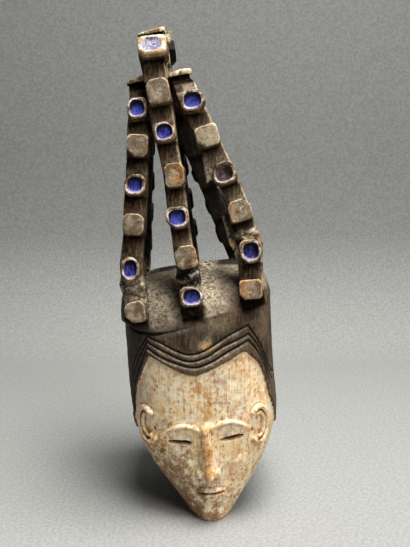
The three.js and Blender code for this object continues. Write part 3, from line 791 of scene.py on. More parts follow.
# hand-made unevenness: adze scoops, slow waves, fine grain and a crust on the crown
on, under, above = peg_parts(verts)
n = normals(field, verts)
outer = sample(np.pad(OUTER, ((0, 0), (0, 0), (0, max(0, SHAPE[2] - OUTER.shape[2]))), constant_values=30), verts)
hair = look(HAIR, round_s(verts), verts[:, 2])
hair = np.where((outer > 8) | (verts[:, 2] > 290), 20, hair)
skin_face = smooth(-hair / 2) * (outer > -9)
inner = smooth((-outer - 9) / 2)
fixed, shine, string = repair_mask(verts)
rough = 0.9 * (scoops(verts, (11, 11, 17), 5) - 0.45)
move = rough * mix(1, 0.22, skin_face) * (1 - 0.75 * on) * (1 - fixed)
move += 0.45 * noise(verts, 26, 1) * (1 - 0.6 * on) + 0.22 * noise(verts, 7, 2) + 0.12 * noise(verts, 2.6, 3)
move += 0.16 * noise(verts, (1.9, 1.9, 17), 4) * (1 - on)
crust = smooth(1.25 - np.hypot((verts[:, 0] - 22) / 14, (verts[:, 2] - 277) / 19)) * (outer > -4)
crust = np.maximum(crust, smooth(1.15 - np.hypot((verts[:, 0] + 50) / 15, (verts[:, 2] - 277) / 14)) * (outer > -4))
move += crust * (0.9 * np.abs(noise(verts, 3.2, 7)) + 0.5 * noise(verts, 1.7, 8))
move += fixed * (0.9 * noise(verts, 4.5, 9) + 0.5 * noise(verts, 2.2, 10))
move -= 0.9 * skin_face * smooth(noise(verts, 9, 12) * 2.2 - 1.0)
move *= smooth((verts[:, 2] - 1.2) / 3)  # the edges it stands on stay flat
move = np.where(verts[:, 2] < 0.4, 0, move)
verts = verts + n * move[:, None] * 0.85
verts[:, 2] = np.maximum(verts[:, 2], 0)

mesh = bpy.data.meshes.new("helmet_mask_carving")
mesh.vertices.add(len(verts))
mesh.vertices.foreach_set("co", (verts / 1000).astype(F).ravel())
mesh.loops.add(len(quads) * 4)
mesh.loops.foreach_set("vertex_index", quads.astype(np.int32).ravel())
mesh.polygons.add(len(quads))
mesh.polygons.foreach_set("loop_start", np.arange(0, len(quads) * 4, 4, dtype=np.int32))
mesh.update(calc_edges=True)
mesh.validate()
ob = bpy.data.objects.new("helmet_mask_carving", mesh)
bpy.context.scene.collection.objects.link(ob)
hidden = inner > 0.99
group = ob.vertex_groups.new(name="hidden")
group.add(np.nonzero(hidden)[0].tolist(), 1.0, "REPLACE")
part = 2 * hidden[quads].all(1).sum()
first = ob.modifiers.new("thin_hidden", "DECIMATE")
first.vertex_group = "hidden"
first.ratio = 1 - 0.93 * part / (2 * len(quads))
thin = ob.modifiers.new("thin", "DECIMATE")
thin.ratio = min(1.0, FACES / (2 * len(quads) * first.ratio))
print("faces", 2 * len(quads), "hidden", part)
done = bpy.data.meshes.new_from_object(ob.evaluated_get(bpy.context.evaluated_depsgraph_get()))
ob.modifiers.clear()
ob.data = done
bpy.data.meshes.remove(mesh)
mesh = done
mesh.name = "helmet_mask_carving"

# ---- masks on the thinned mesh ------------------------------------------------------------
v = np.zeros(len(mesh.vertices) * 3, F)
mesh.vertices.foreach_get("co", v)
v = v.reshape(-1, 3).astype(float) * 1000
on, under, above = peg_parts(v)
outer = sample(np.pad(OUTER, ((0, 0), (0, 0), (0, max(0, SHAPE[2] - OUTER.shape[2]))), constant_values=30), v)
ru = round_s(v)
hair = look(HAIR, ru, v[:, 2])
hair = np.where(((outer > 9) & (v[:, 2] > 140)) | (v[:, 2] > 285), 20, hair)
inner = smooth((-outer - 9.5) / 1.5)
groove = np.where((np.abs(outer) < 7) & (np.abs(ru) < 150), np.clip(look(GROOVE, ru, v[:, 2]), 0, 12), 12)
groove = np.minimum(groove, np.where((np.abs(outer) < 9) & (np.abs(ru) < 150), np.clip(look(LEDGE, ru, v[:, 2]), 0, 12), 12))
curv = sample(soft, v) - sample(field, v)
curv = curv / 1.0
fixed, shine, string = repair_mask(v)
crust = smooth(1.3 - np.hypot((v[:, 0] - 22) / 14, (v[:, 2] - 277) / 20)) * smooth((outer + 9) / 5)
crust = np.maximum(crust, 0.8 * smooth(1.2 - np.hypot((v[:, 0] + 50) / 15, (v[:, 2] - 277) / 14)) * (outer > -4))
crest = smooth((v[:, 2] - 292) / 8) + smooth((outer - 5) / 4) * smooth((v[:, 2] - 236) / 6)
# where hands and years have rubbed the paint off the face
middle = np.exp(-((v[:, 0] - 2) / 12) ** 2)
worn = np.maximum.reduce([
    0.55 * middle * smooth((v[:, 2] - 118) / 16) * smooth((188 - v[:, 2]) / 22),
    smooth((outer - 7) / 6) * smooth((BROW_S + 10 - v[:, 2]) / 10) * np.exp(-(v[:, 0] / 10) ** 2),
    0.45 * smooth((outer - 2) / 3),
    0.9 * np.exp(-(v[:, 0] / 22) ** 2 - ((v[:, 2] - 8) / 13) ** 2)]) * (hair < 2)
# soiling low on the face, and painted shade over the face's left side
dirt_and_shade = smooth((84 - v[:, 2]) / 74) * 0.6 + 0.62 * smooth((-v[:, 0] + 2) / 50) * smooth((140 - v[:, 2]) / 50)
mesh.update()
lean = np.zeros(len(mesh.vertices) * 3, F)
mesh.vertex_normals.foreach_get("vector", lean)
lean = lean.reshape(-1, 3)
grown = noise(v, 17, 31)
# dust and rubbing have left the top and front of the helmet light; painted light also brightens the up-facing tops, the
# post fronts over each peg and the fronts of the right-hand posts
dust_and_light = (smooth((lean[:, 2] + 0.05) / 0.6) * 0.72 + 0.2 * smooth((lean[:, 2] - 0.75) / 0.2)) * smooth((330 - v[:, 2]) / 30) + 0.25 * smooth((lean[:, 2] - 0.2) / 0.5)
dust_and_light += 0.34 * smooth((-lean[:, 1] - 0.4) / 0.4) * smooth((v[:, 2] - 222) / 14) * smooth((292 - v[:, 2]) / 10) * smooth((44 - v[:, 0]) / 14)
dust_and_light += 0.6 * np.exp(-((v[:, 0] + 31) / 18) ** 2 - ((v[:, 2] - 268) / 20) ** 2) * (v[:, 1] < -40)
dust_and_light -= 0.5 * np.exp(-((v[:, 0] - 48) / 20) ** 2 - ((v[:, 2] - 260) / 16) ** 2) * (v[:, 1] < -40)
dust_and_light += 0.3 * np.exp(-((v[:, 0] + 28) / 22) ** 2 - ((v[:, 2] - 274) / 14) ** 2)
dust_and_light += 0.34 * (v[:, 0] > 24) * (v[:, 2] > 300) * smooth((-lean[:, 1] - 0.3) / 0.3)
dust_and_light += 0.7 * np.exp(-((v[:, 0] - 12) / 9) ** 2 - ((v[:, 2] - 215) / 6) ** 2) * (v[:, 1] < -80)
dust_and_light += 0.16 * smooth((v[:, 2] - 172) / 20) * smooth((242 - v[:, 2]) / 10) * smooth((-lean[:, 1] - 0.7) / 0.2)
dust_and_light = np.maximum(dust_and_light * (v[:, 2] > 150) * (1 - on) + 0.15 * grown, above * (1 - on))
# the broken side of the right-hand post: painted light where it flares and on the strip, painted shade in the break, a
# bright chipped end
_, o, chip = scar(v[:, 0], v[:, 1], v[:, 2])
side = arch_x(ARCHES[2], v[:, 1], v[:, 2]) - arch_half(ARCHES[2], v[:, 1], v[:, 2]) - v[:, 0]  # mm past its straight edge
here = (np.abs(side) < 14) * (v[:, 1] < -40) * smooth((o + 9) / 4) * (1 - on)
dust_and_light += 0.50 * here * smooth((side + 4) / 4) * (v[:, 2] > chip) * smooth((432 - v[:, 2]) / 10)
dust_and_light += 0.85 * here * smooth((side + 1.5) / 2) * smooth((346 - v[:, 2]) / 10) * smooth((v[:, 2] - 310) / 6) * (o < 10.0)
under = np.maximum(under, 0.92 * here * smooth((side + 4.5) / 3) * (v[:, 2] < chip - 0.8) * smooth((v[:, 2] - 342) / 6))
string = np.maximum(string, here * smooth((side + 1) / 2) * bell(v[:, 2] - chip - 0.4, 1.5) * smooth((o - 6) / 4))
# painted shade on the centre post's foot, darker at its left, and on the left and centre posts over the helmet, where
# light from the right falls less; the helmet's right side darker between s 150 and 272
place = arch_x(ARCHES[0], v[:, 1], v[:, 2])
foot = smooth((ARCHES[0]["width"][0] / 2 + 3.0 - np.abs(v[:, 0] - place)) / 2) * smooth((v[:, 2] - 264) / 5) * smooth((304 - v[:, 2]) / 6) * (v[:, 1] < -78)
under = np.maximum(under, foot * mix(0.9, 0.45, smooth((v[:, 0] - place - 1) / 8)) * (1 - on))
under = np.maximum(under, 0.27 * (v[:, 0] < 24) * smooth((v[:, 2] - 296) / 8) * (1 - on))
under = np.maximum(under, 0.18 * smooth((v[:, 0] - 52) / 18) * smooth((v[:, 2] - 150) / 20) * smooth((272 - v[:, 2]) / 10) * (hair > 0))
# painted shade where the right-hand post's foot ends, and an ochre spot worn over the hair's grooves
under = np.maximum(under, 0.62 * smooth(1.5 - np.hypot((v[:, 0] - 70) / 14, (v[:, 2] - 250) / 8)) * (v[:, 1] < -70) * (1 - on))
ochre = np.exp(-((v[:, 0] - 13) / 10) ** 2 - ((v[:, 2] - 213) / 7) ** 2) * (v[:, 1] < -80)
# painted shade darkens the helmet's left flank, which faces away from the light
flank = smooth((-lean[:, 0] - 0.35) / 0.4) * smooth((-v[:, 0] - 35) / 25) * (v[:, 2] < 285) * (hair > 0)


def post_edge(p):
    """For points p: mm past the right side of the nearest arch, and out from its face."""
    ea, eb = np.full(len(p), 30.0), np.full(len(p), 30.0)
    best = np.full(len(p), 1e9)
    for number, arch in enumerate(ARCHES):
        band = arch_band(arch, p[:, 1], p[:, 2])
        across = p[:, 0] - arch_x(arch, p[:, 1], p[:, 2])
        half = arch_half(arch, p[:, 1], p[:, 2])
        far = np.maximum(np.abs(band), 0) + np.maximum(np.abs(across) - half, 0)
        near = (far < best) & (p[:, 1] < arch["bend"][0]) & (p[:, 2] > 262)
        best[near] = far[near]
        ea[near], eb[near] = (across - half)[near] + 30 * (number == 1), band[near]
    return np.clip(ea, -30, 30), np.clip(eb, -30, 30)


ea, eb = post_edge(v)
# painted shade on the rear legs and on the crest's back-facing sides
rear = smooth((v[:, 1] + 28) / 30) * smooth((v[:, 2] - 262) / 14)
rear = np.maximum(rear, smooth((lean[:, 1] - 0.1) / 0.4) * smooth((v[:, 2] - 275) / 14))
values = dict(peg_place(v), rear=rear, flank=flank, ea=ea, eb=eb, hair=np.clip(hair, -25, 25), peg=on, under=under, dust_and_light=dust_and_light, up=v[:, 2],
              inner=inner, groove=groove, curv=np.clip(curv, -2, 2), resin=fixed, shine=shine, string=string, crust=crust, ochre=ochre, crest=clamp01(crest), worn=worn, dirt_and_shade=dirt_and_shade)

turn = LEAN * (1 - np.exp(-v[:, 2] / LEAN_LENGTH))
spine = CHIN_X - LEAN * (v[:, 2] - LEAN_LENGTH * (1 - np.exp(-v[:, 2] / LEAN_LENGTH)))
out = np.stack([spine + v[:, 0] * np.cos(turn) + MIDDLE[0], v[:, 1] + MIDDLE[1], v[:, 2] + v[:, 0] * np.sin(turn)], 1) / 1000
# nothing goes past the CAD's own box
lo, hi = np.array(before[0]), np.array(before[1])
out = np.clip(out, lo + 1e-5, hi - 1e-5)
out[:, 2] = np.where(v[:, 2] < 0.4, 0, out[:, 2])
mesh.vertices.foreach_set("co", out.astype(F).ravel())
for name, value in values.items():
    at = mesh.attributes.new(name, "FLOAT", "POINT")
    at.data.foreach_set("value", value.astype(F))
mesh.update()
for p in mesh.polygons:
    p.use_smooth = True


# ---- material -----------------------------------------------------------------------------
def srgb(r, g, b):
    return tuple(((c / 255) / 12.92 if c <= 10 else ((c / 255 + 0.055) / 1.055) ** 2.4) for c in (r, g, b)) + (1.0,)


class Nodes:
    def __init__(self, material):
        material.use_nodes = True
        self.tree = material.node_tree
        self.tree.nodes.clear()

    def new(self, kind, **given):
        node = self.tree.nodes.new(kind)
        for key, value in given.items():
            setattr(node, key, value)
        return node

    def put(self, socket, value):
        if isinstance(value, bpy.types.NodeSocket):
            self.tree.links.new(value, socket)
        else:
            socket.default_value = value

    def mask(self, name):
        return self.new("ShaderNodeAttribute", attribute_name=name).outputs["Fac"]

    def math(self, op, a, b=0.0, c=0.0, clamp=False):
        node = self.new("ShaderNodeMath", operation=op, use_clamp=clamp)
        for socket, value in zip(node.inputs, (a, b, c)):
            self.put(socket, value)
        return node.outputs[0]

    def step(self, value, low, high, to_low=0.0, to_high=1.0):
        node = self.new("ShaderNodeMapRange", interpolation_type="SMOOTHSTEP")
        for key, item in zip(("Value", "From Min", "From Max", "To Min", "To Max"), (value, low, high, to_low, to_high)):
            self.put(node.inputs[key], item)
        return node.outputs[0]

    def blend(self, amount, a, b, how="MIX"):
        node = self.new("ShaderNodeMix", data_type="RGBA", blend_type=how)
        self.put(node.inputs["Factor"], amount)
        self.put(node.inputs[6], a)
        self.put(node.inputs[7], b)
        return node.outputs[2]

    def place(self, scale, spin=0.0):
        if not hasattr(self, "at"):
            self.at = self.new("ShaderNodeTexCoord").outputs["Object"]
        node = self.new("ShaderNodeMapping")
        self.put(node.inputs["Vector"], self.at)
        node.inputs["Scale"].default_value = scale
        node.inputs["Rotation"].default_value = (0, spin, 0)
        return node.outputs[0]

    def noise(self, scale, detail=4.0, rough=0.55, where=None, seed=0.0):
        node = self.new("ShaderNodeTexNoise", noise_dimensions="4D")
        self.put(node.inputs["Vector"], where if where is not None else self.place((1, 1, 1)))
        node.inputs["W"].default_value = seed
        node.inputs["Scale"].default_value = scale
        node.inputs["Detail"].default_value = detail
        node.inputs["Roughness"].default_value = rough
        return self.math("MULTIPLY_ADD", node.outputs["Fac"], 2.0, -0.5, clamp=True)

    def cells(self, scale, where=None):
        node = self.new("ShaderNodeTexVoronoi", feature="F1")
        self.put(node.inputs["Vector"], where if where is not None else self.place((1, 1, 1)))
        node.inputs["Scale"].default_value = scale
        return node.outputs["Distance"]


material = bpy.data.materials.new("carved_wood_paint")
N = Nodes(material)
hair, curv, which, tint = N.mask("hair"), N.mask("curv"), N.mask("which"), N.mask("tint")
TURN = -0.12
grain = N.noise(1.0, 5, 0.62, N.place((460, 460, 26), TURN), 1)
fibre = N.noise(1.0, 3, 0.6, N.place((1300, 1300, 80), TURN), 2)
blotch = N.noise(34, 5, 0.62, seed=3)
broad = N.noise(13, 3, 0.55, seed=4)
speck = N.noise(250, 4, 0.62, seed=5)
dust = N.noise(95, 6, 0.70, seed=6)
pits = N.noise(520, 3, 0.6, seed=7)
mottle = N.noise(150, 5, 0.7, seed=9)
fray = N.math("MULTIPLY", N.math("SUBTRACT", dust, 0.5), 0.8)
fray_fine = N.math("MULTIPLY", N.math("SUBTRACT", mottle, 0.5), 0.8)
groove_at = N.math("ADD", N.mask("groove"), N.math("MULTIPLY", fray_fine, 0.5))
groove = N.step(groove_at, 1.5, 0.75)

# places on a peg: its face, mm from the face's edge, and the socket's own measure (1 at its border)
out_a, out_b = N.math("ABSOLUTE", N.mask("pa")), N.math("ABSOLUTE", N.mask("pb"))
po = N.mask("po")
at_face = N.math("MULTIPLY", N.step(po, -2.2, -1.3), N.step(N.math("MAXIMUM", out_a, out_b), 1.12, 1.04))
edge_mm = N.math("MULTIPLY", N.math("SUBTRACT", 1.0, N.math("MAXIMUM", out_a, out_b)), 11.5)
corner_mm = N.math("SUBTRACT", N.math("MULTIPLY", N.math("SUBTRACT", 2.0, N.math("ADD", out_a, out_b)), 8.1), 3.4)
edge_mm = N.math("ADD", N.math("MINIMUM", edge_mm, corner_mm), N.math("MULTIPLY", N.math("ADD", fray, fray_fine), 2.2))
holed = N.math("ADD", N.mask("sock"), N.mask("white"), clamp=True)
bowl_at = N.math("POWER", N.math("ADD", N.math("POWER", N.math("DIVIDE", out_a, 0.70), 2.7), N.math("POWER", N.math("DIVIDE", out_b, 0.71), 2.7)), 1 / 2.7)
bowl_at = N.math("ADD", bowl_at, N.math("MULTIPLY", N.math("ADD", fray, fray_fine), 0.24))
near_face = N.math("MULTIPLY", holed, N.step(po, -9.0, -7.5))
socket = N.math("MULTIPLY", near_face, N.step(bowl_at, 1.05, 0.96))
lip = N.math("MULTIPLY", N.math("MULTIPLY", near_face, N.step(bowl_at, 1.30, 1.12)), N.math("SUBTRACT", 1.0, socket))

# dark patina: hair and helmet
dark = N.blend(N.step(blotch, 0.28, 0.72), srgb(62, 48, 35), srgb(112, 94, 72))
dark = N.blend(N.step(grain, 0.48, 0.80, 0, 0.5), dark, srgb(140, 120, 92))
dark = N.blend(N.step(mottle, 0.52, 0.72, 0, 0.7), dark, srgb(38, 27, 18))
dark = N.blend(N.step(broad, 0.55, 0.75, 0, 0.45), dark, srgb(84, 58, 36))
# the posts are browner, in long streaks
streak = N.math("ADD", grain, N.math("MULTIPLY", N.math("ADD", fray, fray_fine), 0.2))
brown = N.blend(N.step(streak, 0.22, 0.62), srgb(44, 30, 19), srgb(104, 80, 56))
brown = N.blend(N.step(streak, 0.54, 0.84, 0, 0.8), brown, srgb(164, 138, 104))
brown = N.blend(N.step(blotch, 0.52, 0.76, 0, 0.7), brown, srgb(34, 23, 15))
brown = N.blend(N.step(mottle, 0.56, 0.74, 0, 0.75), brown, srgb(26, 17, 11))
dark = N.blend(N.mask("crest"), dark, brown)
dust_and_light = N.math("ADD", N.mask("dust_and_light"), N.math("ADD", N.math("MULTIPLY", fray, 0.6), N.math("MULTIPLY", fray_fine, 0.6)))
dark = N.blend(N.step(dust_and_light, 0.16, 0.80, 0, 0.85), dark, N.blend(N.step(mottle, 0.34, 0.60), srgb(172, 160, 140), srgb(126, 113, 95)))
dark = N.blend(N.math("MULTIPLY", N.step(dust_and_light, 0.2, 0.7), N.step(N.math("ADD", pits, N.math("MULTIPLY", fray, 0.5)), 0.54, 0.74, 0, 0.5)), dark, srgb(74, 60, 44))
dark = N.blend(N.math("MULTIPLY", N.step(dust_and_light, 0.3, 0.8), N.step(N.math("ADD", pits, N.math("MULTIPLY", fray, 0.5)), 0.42, 0.26, 0, 0.4)), dark, srgb(200, 186, 158))
dark = N.blend(N.step(N.math("ADD", N.mask("ochre"), N.math("ADD", N.math("MULTIPLY", fray, 0.8), fray_fine)), 0.35, 0.75, 0, 0.8), dark, N.blend(N.step(mottle, 0.40, 0.60), srgb(214, 172, 104), srgb(176, 128, 70)))
dark = N.blend(N.step(speck, 0.60, 0.78, 0, 0.7), dark, srgb(28, 19, 13))
# painted shade on the helmet's left flank
dark = N.blend(N.math("MULTIPLY", N.mask("flank"), N.step(mottle, 0.3, 0.7, 0.75, 0.5)), dark, srgb(24, 17, 11))
# a painted highlight runs along the posts' right-hand edges, broken into patches
corner = N.math("SQRT", N.math("ADD", N.math("POWER", N.math("ABSOLUTE", N.math("ADD", N.mask("ea"), 0.9)), 2.0), N.math("POWER", N.math("ABSOLUTE", N.math("ADD", N.mask("eb"), 0.9)), 2.0)))
corner = N.math("ADD", corner, N.math("MULTIPLY", N.math("ADD", fray, fray_fine), 2.4))
dark = N.blend(N.math("MULTIPLY", N.step(corner, 1.9, 0.7, 0, 0.9), N.step(N.math("ADD", blotch, fray), 0.30, 0.60, 0.35, 1.0)), dark, srgb(202, 184, 152))
edge = N.math("ADD", curv, N.math("MULTIPLY", N.math("ADD", fray, fray_fine), 0.8))
dark = N.blend(N.step(edge, 0.55, 1.10, 0, 0.85), dark, srgb(172, 148, 112))
dark = N.blend(N.step(edge, 1.05, 1.6, 0, 0.8), dark, srgb(214, 178, 128))
dark = N.blend(N.step(curv, -0.15, -0.8, 0, 0.85), dark, srgb(26, 17, 11))
# painted shade under the pegs and slabs, in the post's break, below the posts' feet and on the left and centre posts;
# also darker low on the helmet's right
dark = N.blend(N.math("MULTIPLY", N.mask("under"), N.step(mottle, 0.2, 0.6, 0.86, 0.98)), dark, srgb(15, 9, 6))
dark = N.blend(N.math("MULTIPLY", groove, 0.92), dark, srgb(20, 13, 8))
# painted shade: the rear legs and the crest's back-facing sides are made nearly black
dark = N.blend(N.math("MULTIPLY", N.mask("rear"), N.step(grain, 0.5, 0.8, 0.97, 0.86)), dark, srgb(14, 9, 6))
# beige crust on the crown
crust = N.math("MULTIPLY", N.mask("crust"), N.step(N.math("ADD", mottle, N.math("MULTIPLY", fray, 0.2)), 0.42, 0.54), clamp=True)
dark = N.blend(crust, dark, N.blend(N.step(N.math("ADD", speck, N.math("MULTIPLY", N.math("SUBTRACT", pits, 0.5), 0.6)), 0.40, 0.62), srgb(226, 211, 182), srgb(112, 92, 68)))
# plain pegs: bare worn wood, some greyer and some more orange, edges rubbed light
face_noise = N.math("ADD", N.math("MULTIPLY", dust, 0.6), N.math("MULTIPLY", N.noise(60, 3, 0.55, seed=10), 0.4))
bare = N.blend(N.step(face_noise, 0.36, 0.62), srgb(146, 134, 114), srgb(98, 83, 64))
warm = N.blend(N.step(face_noise, 0.36, 0.62), srgb(172, 128, 80), srgb(112, 76, 46))
across = N.math("MULTIPLY", N.math("MULTIPLY", N.mask("pa"), N.step(which, 0.45, 0.55, -0.45, 0.45)), N.step(tint, 0.2, 0.5))
bare = N.blend(N.step(N.math("ADD", N.math("ADD", blotch, across), N.math("ADD", fray, N.math("MULTIPLY", N.math("SUBTRACT", tint, 0.5), 0.7))), 0.52, 0.86, 0, 0.9), bare, warm)
bare = N.blend(N.step(tint, -0.1, -0.4, 0, 0.6), bare, srgb(186, 168, 140))
bare = N.blend(N.step(fibre, 0.60, 0.85, 0, 0.4), bare, srgb(70, 54, 38))
worn_ring = N.math("MULTIPLY", N.step(edge_mm, 5.5, 1.8), N.step(N.math("ADD", broad, N.math("MULTIPLY", N.math("ADD", fray, fray_fine), 1.6)), 0.62, 0.36, 0, 0.85))
bare = N.blend(worn_ring, bare, N.blend(N.step(tint, 0.2, 0.8), srgb(88, 68, 49), srgb(112, 76, 44)))
bare = N.blend(N.step(N.math("ADD", mottle, N.math("MULTIPLY", fray, 0.8)), 0.36, 0.18, 0, 0.6), bare, srgb(192, 180, 154))
bare = N.blend(N.step(N.math("ADD", speck, N.math("MULTIPLY", fray, 0.4)), 0.70, 0.82, 0, 0.8), bare, srgb(52, 38, 26))
light = N.blend(N.step(N.math("ADD", dust, N.math("MULTIPLY", N.math("SUBTRACT", tint, 0.5), 0.3)), 0.44, 0.62), srgb(214, 196, 162), srgb(190, 152, 104))
some = N.step(N.math("ADD", N.math("ADD", broad, N.math("MULTIPLY", N.mask("pb"), 0.16)), N.math("MULTIPLY", N.math("ADD", fray, fray_fine), 1.5)), 0.22, 0.64, 0.05, 1.0)
bare = N.blend(N.math("MULTIPLY", some, N.step(edge_mm, 1.6, 0.5, 0, 0.9)), bare, light)
on_face = N.math("MULTIPLY", at_face, N.step(dust, 0.20, 0.42, 0.6, 1.0))
wood = N.blend(on_face, dark, bare)
# chipped tops of the crown slabs
chip = N.math("MULTIPLY", N.mask("cap"), N.step(N.math("ADD", po, N.math("MULTIPLY", fray_fine, 3.0)), -5.4, -4.2))
wood = N.blend(N.math("MULTIPLY", chip, N.step(N.math("ADD", mottle, N.math("MULTIPLY", fray, 0.6)), 0.66, 0.48, 0.1, 0.95)), wood, N.blend(N.step(dust, 0.40, 0.62), srgb(224, 212, 178), srgb(176, 154, 116)))
# sockets: brown rim, thin pale lip, blue inside
rims = N.blend(N.step(N.math("ADD", mottle, fray), 0.34, 0.60), srgb(150, 128, 100), srgb(76, 56, 40))
rims = N.blend(N.math("MULTIPLY", some, N.step(edge_mm, 1.6, 0.5, 0, 0.7)), rims, srgb(200, 180, 146))
wood = N.blend(N.math("MULTIPLY", at_face, holed), wood, rims)
lip_on = N.math("MULTIPLY", lip, N.step(N.math("ADD", dust, N.math("MULTIPLY", N.mask("pb"), 0.12)), 0.68, 0.44, 0.0, 0.95))
wood = N.blend(lip_on, wood, N.blend(N.step(mottle, 0.42, 0.58), srgb(214, 204, 208), srgb(182, 152, 120)))
hatch = N.noise(1.0, 3, 0.6, N.place((520, 520, 120), 0.6), 12)
blue = N.blend(N.step(N.math("ADD", dust, N.math("MULTIPLY", N.math("SUBTRACT", which, 0.5), 0.3)), 0.34, 0.62), srgb(27, 28, 82), srgb(64, 71, 170))
blue = N.blend(N.step(N.math("ADD", hatch, fray), 0.48, 0.68, 0, 0.68), blue, srgb(20, 18, 54))
blue = N.blend(N.step(N.math("ADD", hatch, fray), 0.36, 0.18, 0, 0.45), blue, srgb(110, 112, 172))
blue = N.blend(N.step(mottle, 0.60, 0.74, 0, 0.8), blue, srgb(20, 15, 34))
# painted shade: the blue turns almost black towards the bowl's rim and its upper side
rand = N.math("ADD", bowl_at, N.math("MULTIPLY", N.mask("pb"), 0.45))
blue = N.blend(N.step(rand, 0.44, 1.02, 0, 0.94), blue, srgb(12, 9, 22))
# painted highlight: pale lavender on the lower side of the bowl
low_side = N.math("ADD", bowl_at, N.math("ADD", N.math("MULTIPLY", N.mask("pb"), -0.5), N.math("MULTIPLY", fray, 0.8)))
blue = N.blend(N.step(low_side, 1.02, 1.30, 0, 0.7), blue, srgb(162, 156, 188))
stale = N.blend(N.step(mottle, 0.36, 0.60), srgb(112, 90, 92), srgb(52, 40, 44))
blue = N.blend(N.mask("faded"), blue, stale)
scratch = N.noise(1.0, 3, 0.6, N.place((900, 900, 110), 0.55), 8)
pale = N.blend(N.step(scratch, 0.44, 0.60), srgb(174, 171, 180), srgb(96, 94, 128))
pale = N.blend(N.step(N.math("ADD", dust, N.math("MULTIPLY", N.mask("pb"), -0.12)), 0.52, 0.68, 0, 0.7), pale, srgb(84, 82, 132))
blue = N.blend(N.mask("white"), blue, pale)
wood = N.blend(socket, wood, blue)
below = N.math("MULTIPLY", N.mask("white"), N.step(N.math("ADD", po, N.math("MULTIPLY", fray_fine, 3.0)), -7.5, -6.0))
wood = N.blend(N.math("MULTIPLY", below, N.math("MULTIPLY", N.math("SUBTRACT", 1.0, socket), 0.9)), wood, N.blend(N.step(dust, 0.38, 0.62), srgb(198, 162, 118), srgb(142, 104, 70)))
cream = N.math("MULTIPLY", N.math("MULTIPLY", N.mask("white"), N.step(N.math("ADD", po, N.math("MULTIPLY", fray_fine, 3.0)), -3.6, -1.8)), N.math("MULTIPLY", N.math("SUBTRACT", 1.0, socket), N.step(mottle, 0.30, 0.44, 0.35, 0.95)))
sunny = N.math("ADD", dust, N.math("SUBTRACT", N.math("MULTIPLY", N.mask("pa"), 0.10), N.math("MULTIPLY", N.mask("pb"), 0.07)))
wood = N.blend(cream, wood, N.blend(N.step(mottle, 0.46, 0.66, 0, 0.75), N.blend(N.step(sunny, 0.56, 0.80, 0, 0.9), srgb(226, 212, 190), srgb(206, 158, 94)), srgb(150, 116, 82)))
# mended places: dark glossy resin and grey-gold crust
crumbs = N.blend(N.step(N.math("ADD", mottle, fray), 0.36, 0.62), srgb(62, 54, 44), srgb(126, 116, 98))
gold = N.math("MULTIPLY", N.step(N.mask("up"), 300.0, 312.0), N.step(N.math("ADD", dust, N.math("MULTIPLY", fray_fine, 1.4)), 0.44, 0.66))
crumbs = N.blend(N.math("MULTIPLY", gold, 0.85), crumbs, srgb(176, 138, 90))
crumbs = N.blend(N.step(speck, 0.60, 0.70, 0, 0.7), crumbs, srgb(214, 196, 160))
crumbs = N.blend(N.step(pits, 0.56, 0.68, 0, 0.8), crumbs, srgb(30, 22, 15))
crumbs = N.blend(N.step(edge, 0.6, 1.2, 0, 0.7), crumbs, srgb(200, 182, 148))
resin = N.blend(N.step(mottle, 0.50, 0.72), srgb(17, 13, 11), srgb(48, 38, 29))
# the light specks on the glossy resin are painted glints
resin = N.blend(N.step(speck, 0.70, 0.78, 0, 0.7), resin, srgb(150, 138, 118))
mend = N.blend(N.step(N.math("ADD", N.mask("shine"), N.math("MULTIPLY", fray, 0.6)), 0.42, 0.68), crumbs, resin)
mend_on = N.math("MULTIPLY", N.mask("resin"), N.math("SUBTRACT", 1.0, N.math("MULTIPLY", at_face, 0.9)))
wood = N.blend(N.math("MULTIPLY", mend_on, N.step(dust, 0.30, 0.46, 0.5, 1.0)), wood, mend)
string = N.math("MULTIPLY", N.math("MULTIPLY", N.mask("string"), N.math("SUBTRACT", 1.0, N.math("MULTIPLY", at_face, 0.9))), N.step(N.math("ADD", mottle, fray), 0.62, 0.38))
wood = N.blend(string, wood, srgb(204, 197, 182))

# face: worn kaolin over wood
fine = N.math("ADD", N.math("MULTIPLY", mottle, 0.45), N.math("ADD", N.math("MULTIPLY", grain, 0.35), N.math("MULTIPLY", speck, 0.20)))
paint = N.blend(N.step(N.math("ADD", fine, N.math("MULTIPLY", N.math("SUBTRACT", blotch, 0.5), 0.4)), 0.34, 0.70), srgb(255, 240, 204), srgb(250, 208, 152))
paint = N.blend(N.step(N.math("ADD", fine, N.math("MULTIPLY", N.math("SUBTRACT", broad, 0.5), 0.5)), 0.54, 0.80, 0, 0.55), paint, srgb(218, 162, 100))
paint = N.blend(N.step(N.math("ADD", fine, N.math("MULTIPLY", N.math("SUBTRACT", blotch, 0.5), -0.6)), 0.50, 0.74, 0, 0.55), paint, srgb(200, 166, 148))
patch = N.noise(62, 5, 0.6, seed=14)
paint = N.blend(N.step(N.math("ADD", patch, N.math("ADD", N.math("MULTIPLY", fray, 0.5), N.math("MULTIPLY", N.math("SUBTRACT", grain, 0.5), 0.35))), 0.54, 0.78, 0, 0.6), paint, srgb(216, 152, 90))
wash = N.noise(44, 5, 0.6, seed=15)
paint = N.blend(N.step(N.math("ADD", wash, fray), 0.56, 0.80, 0, 0.5), paint, srgb(204, 176, 158))
paint = N.blend(N.step(N.math("ADD", mottle, N.math("MULTIPLY", N.math("SUBTRACT", dust, 0.5), 0.6)), 0.42, 0.26, 0, 0.85), paint, srgb(255, 243, 214))
under = N.blend(N.step(N.math("ADD", grain, N.math("MULTIPLY", N.math("ADD", fray, fray_fine), 0.5)), 0.30, 0.66), srgb(164, 104, 50), srgb(218, 160, 96))
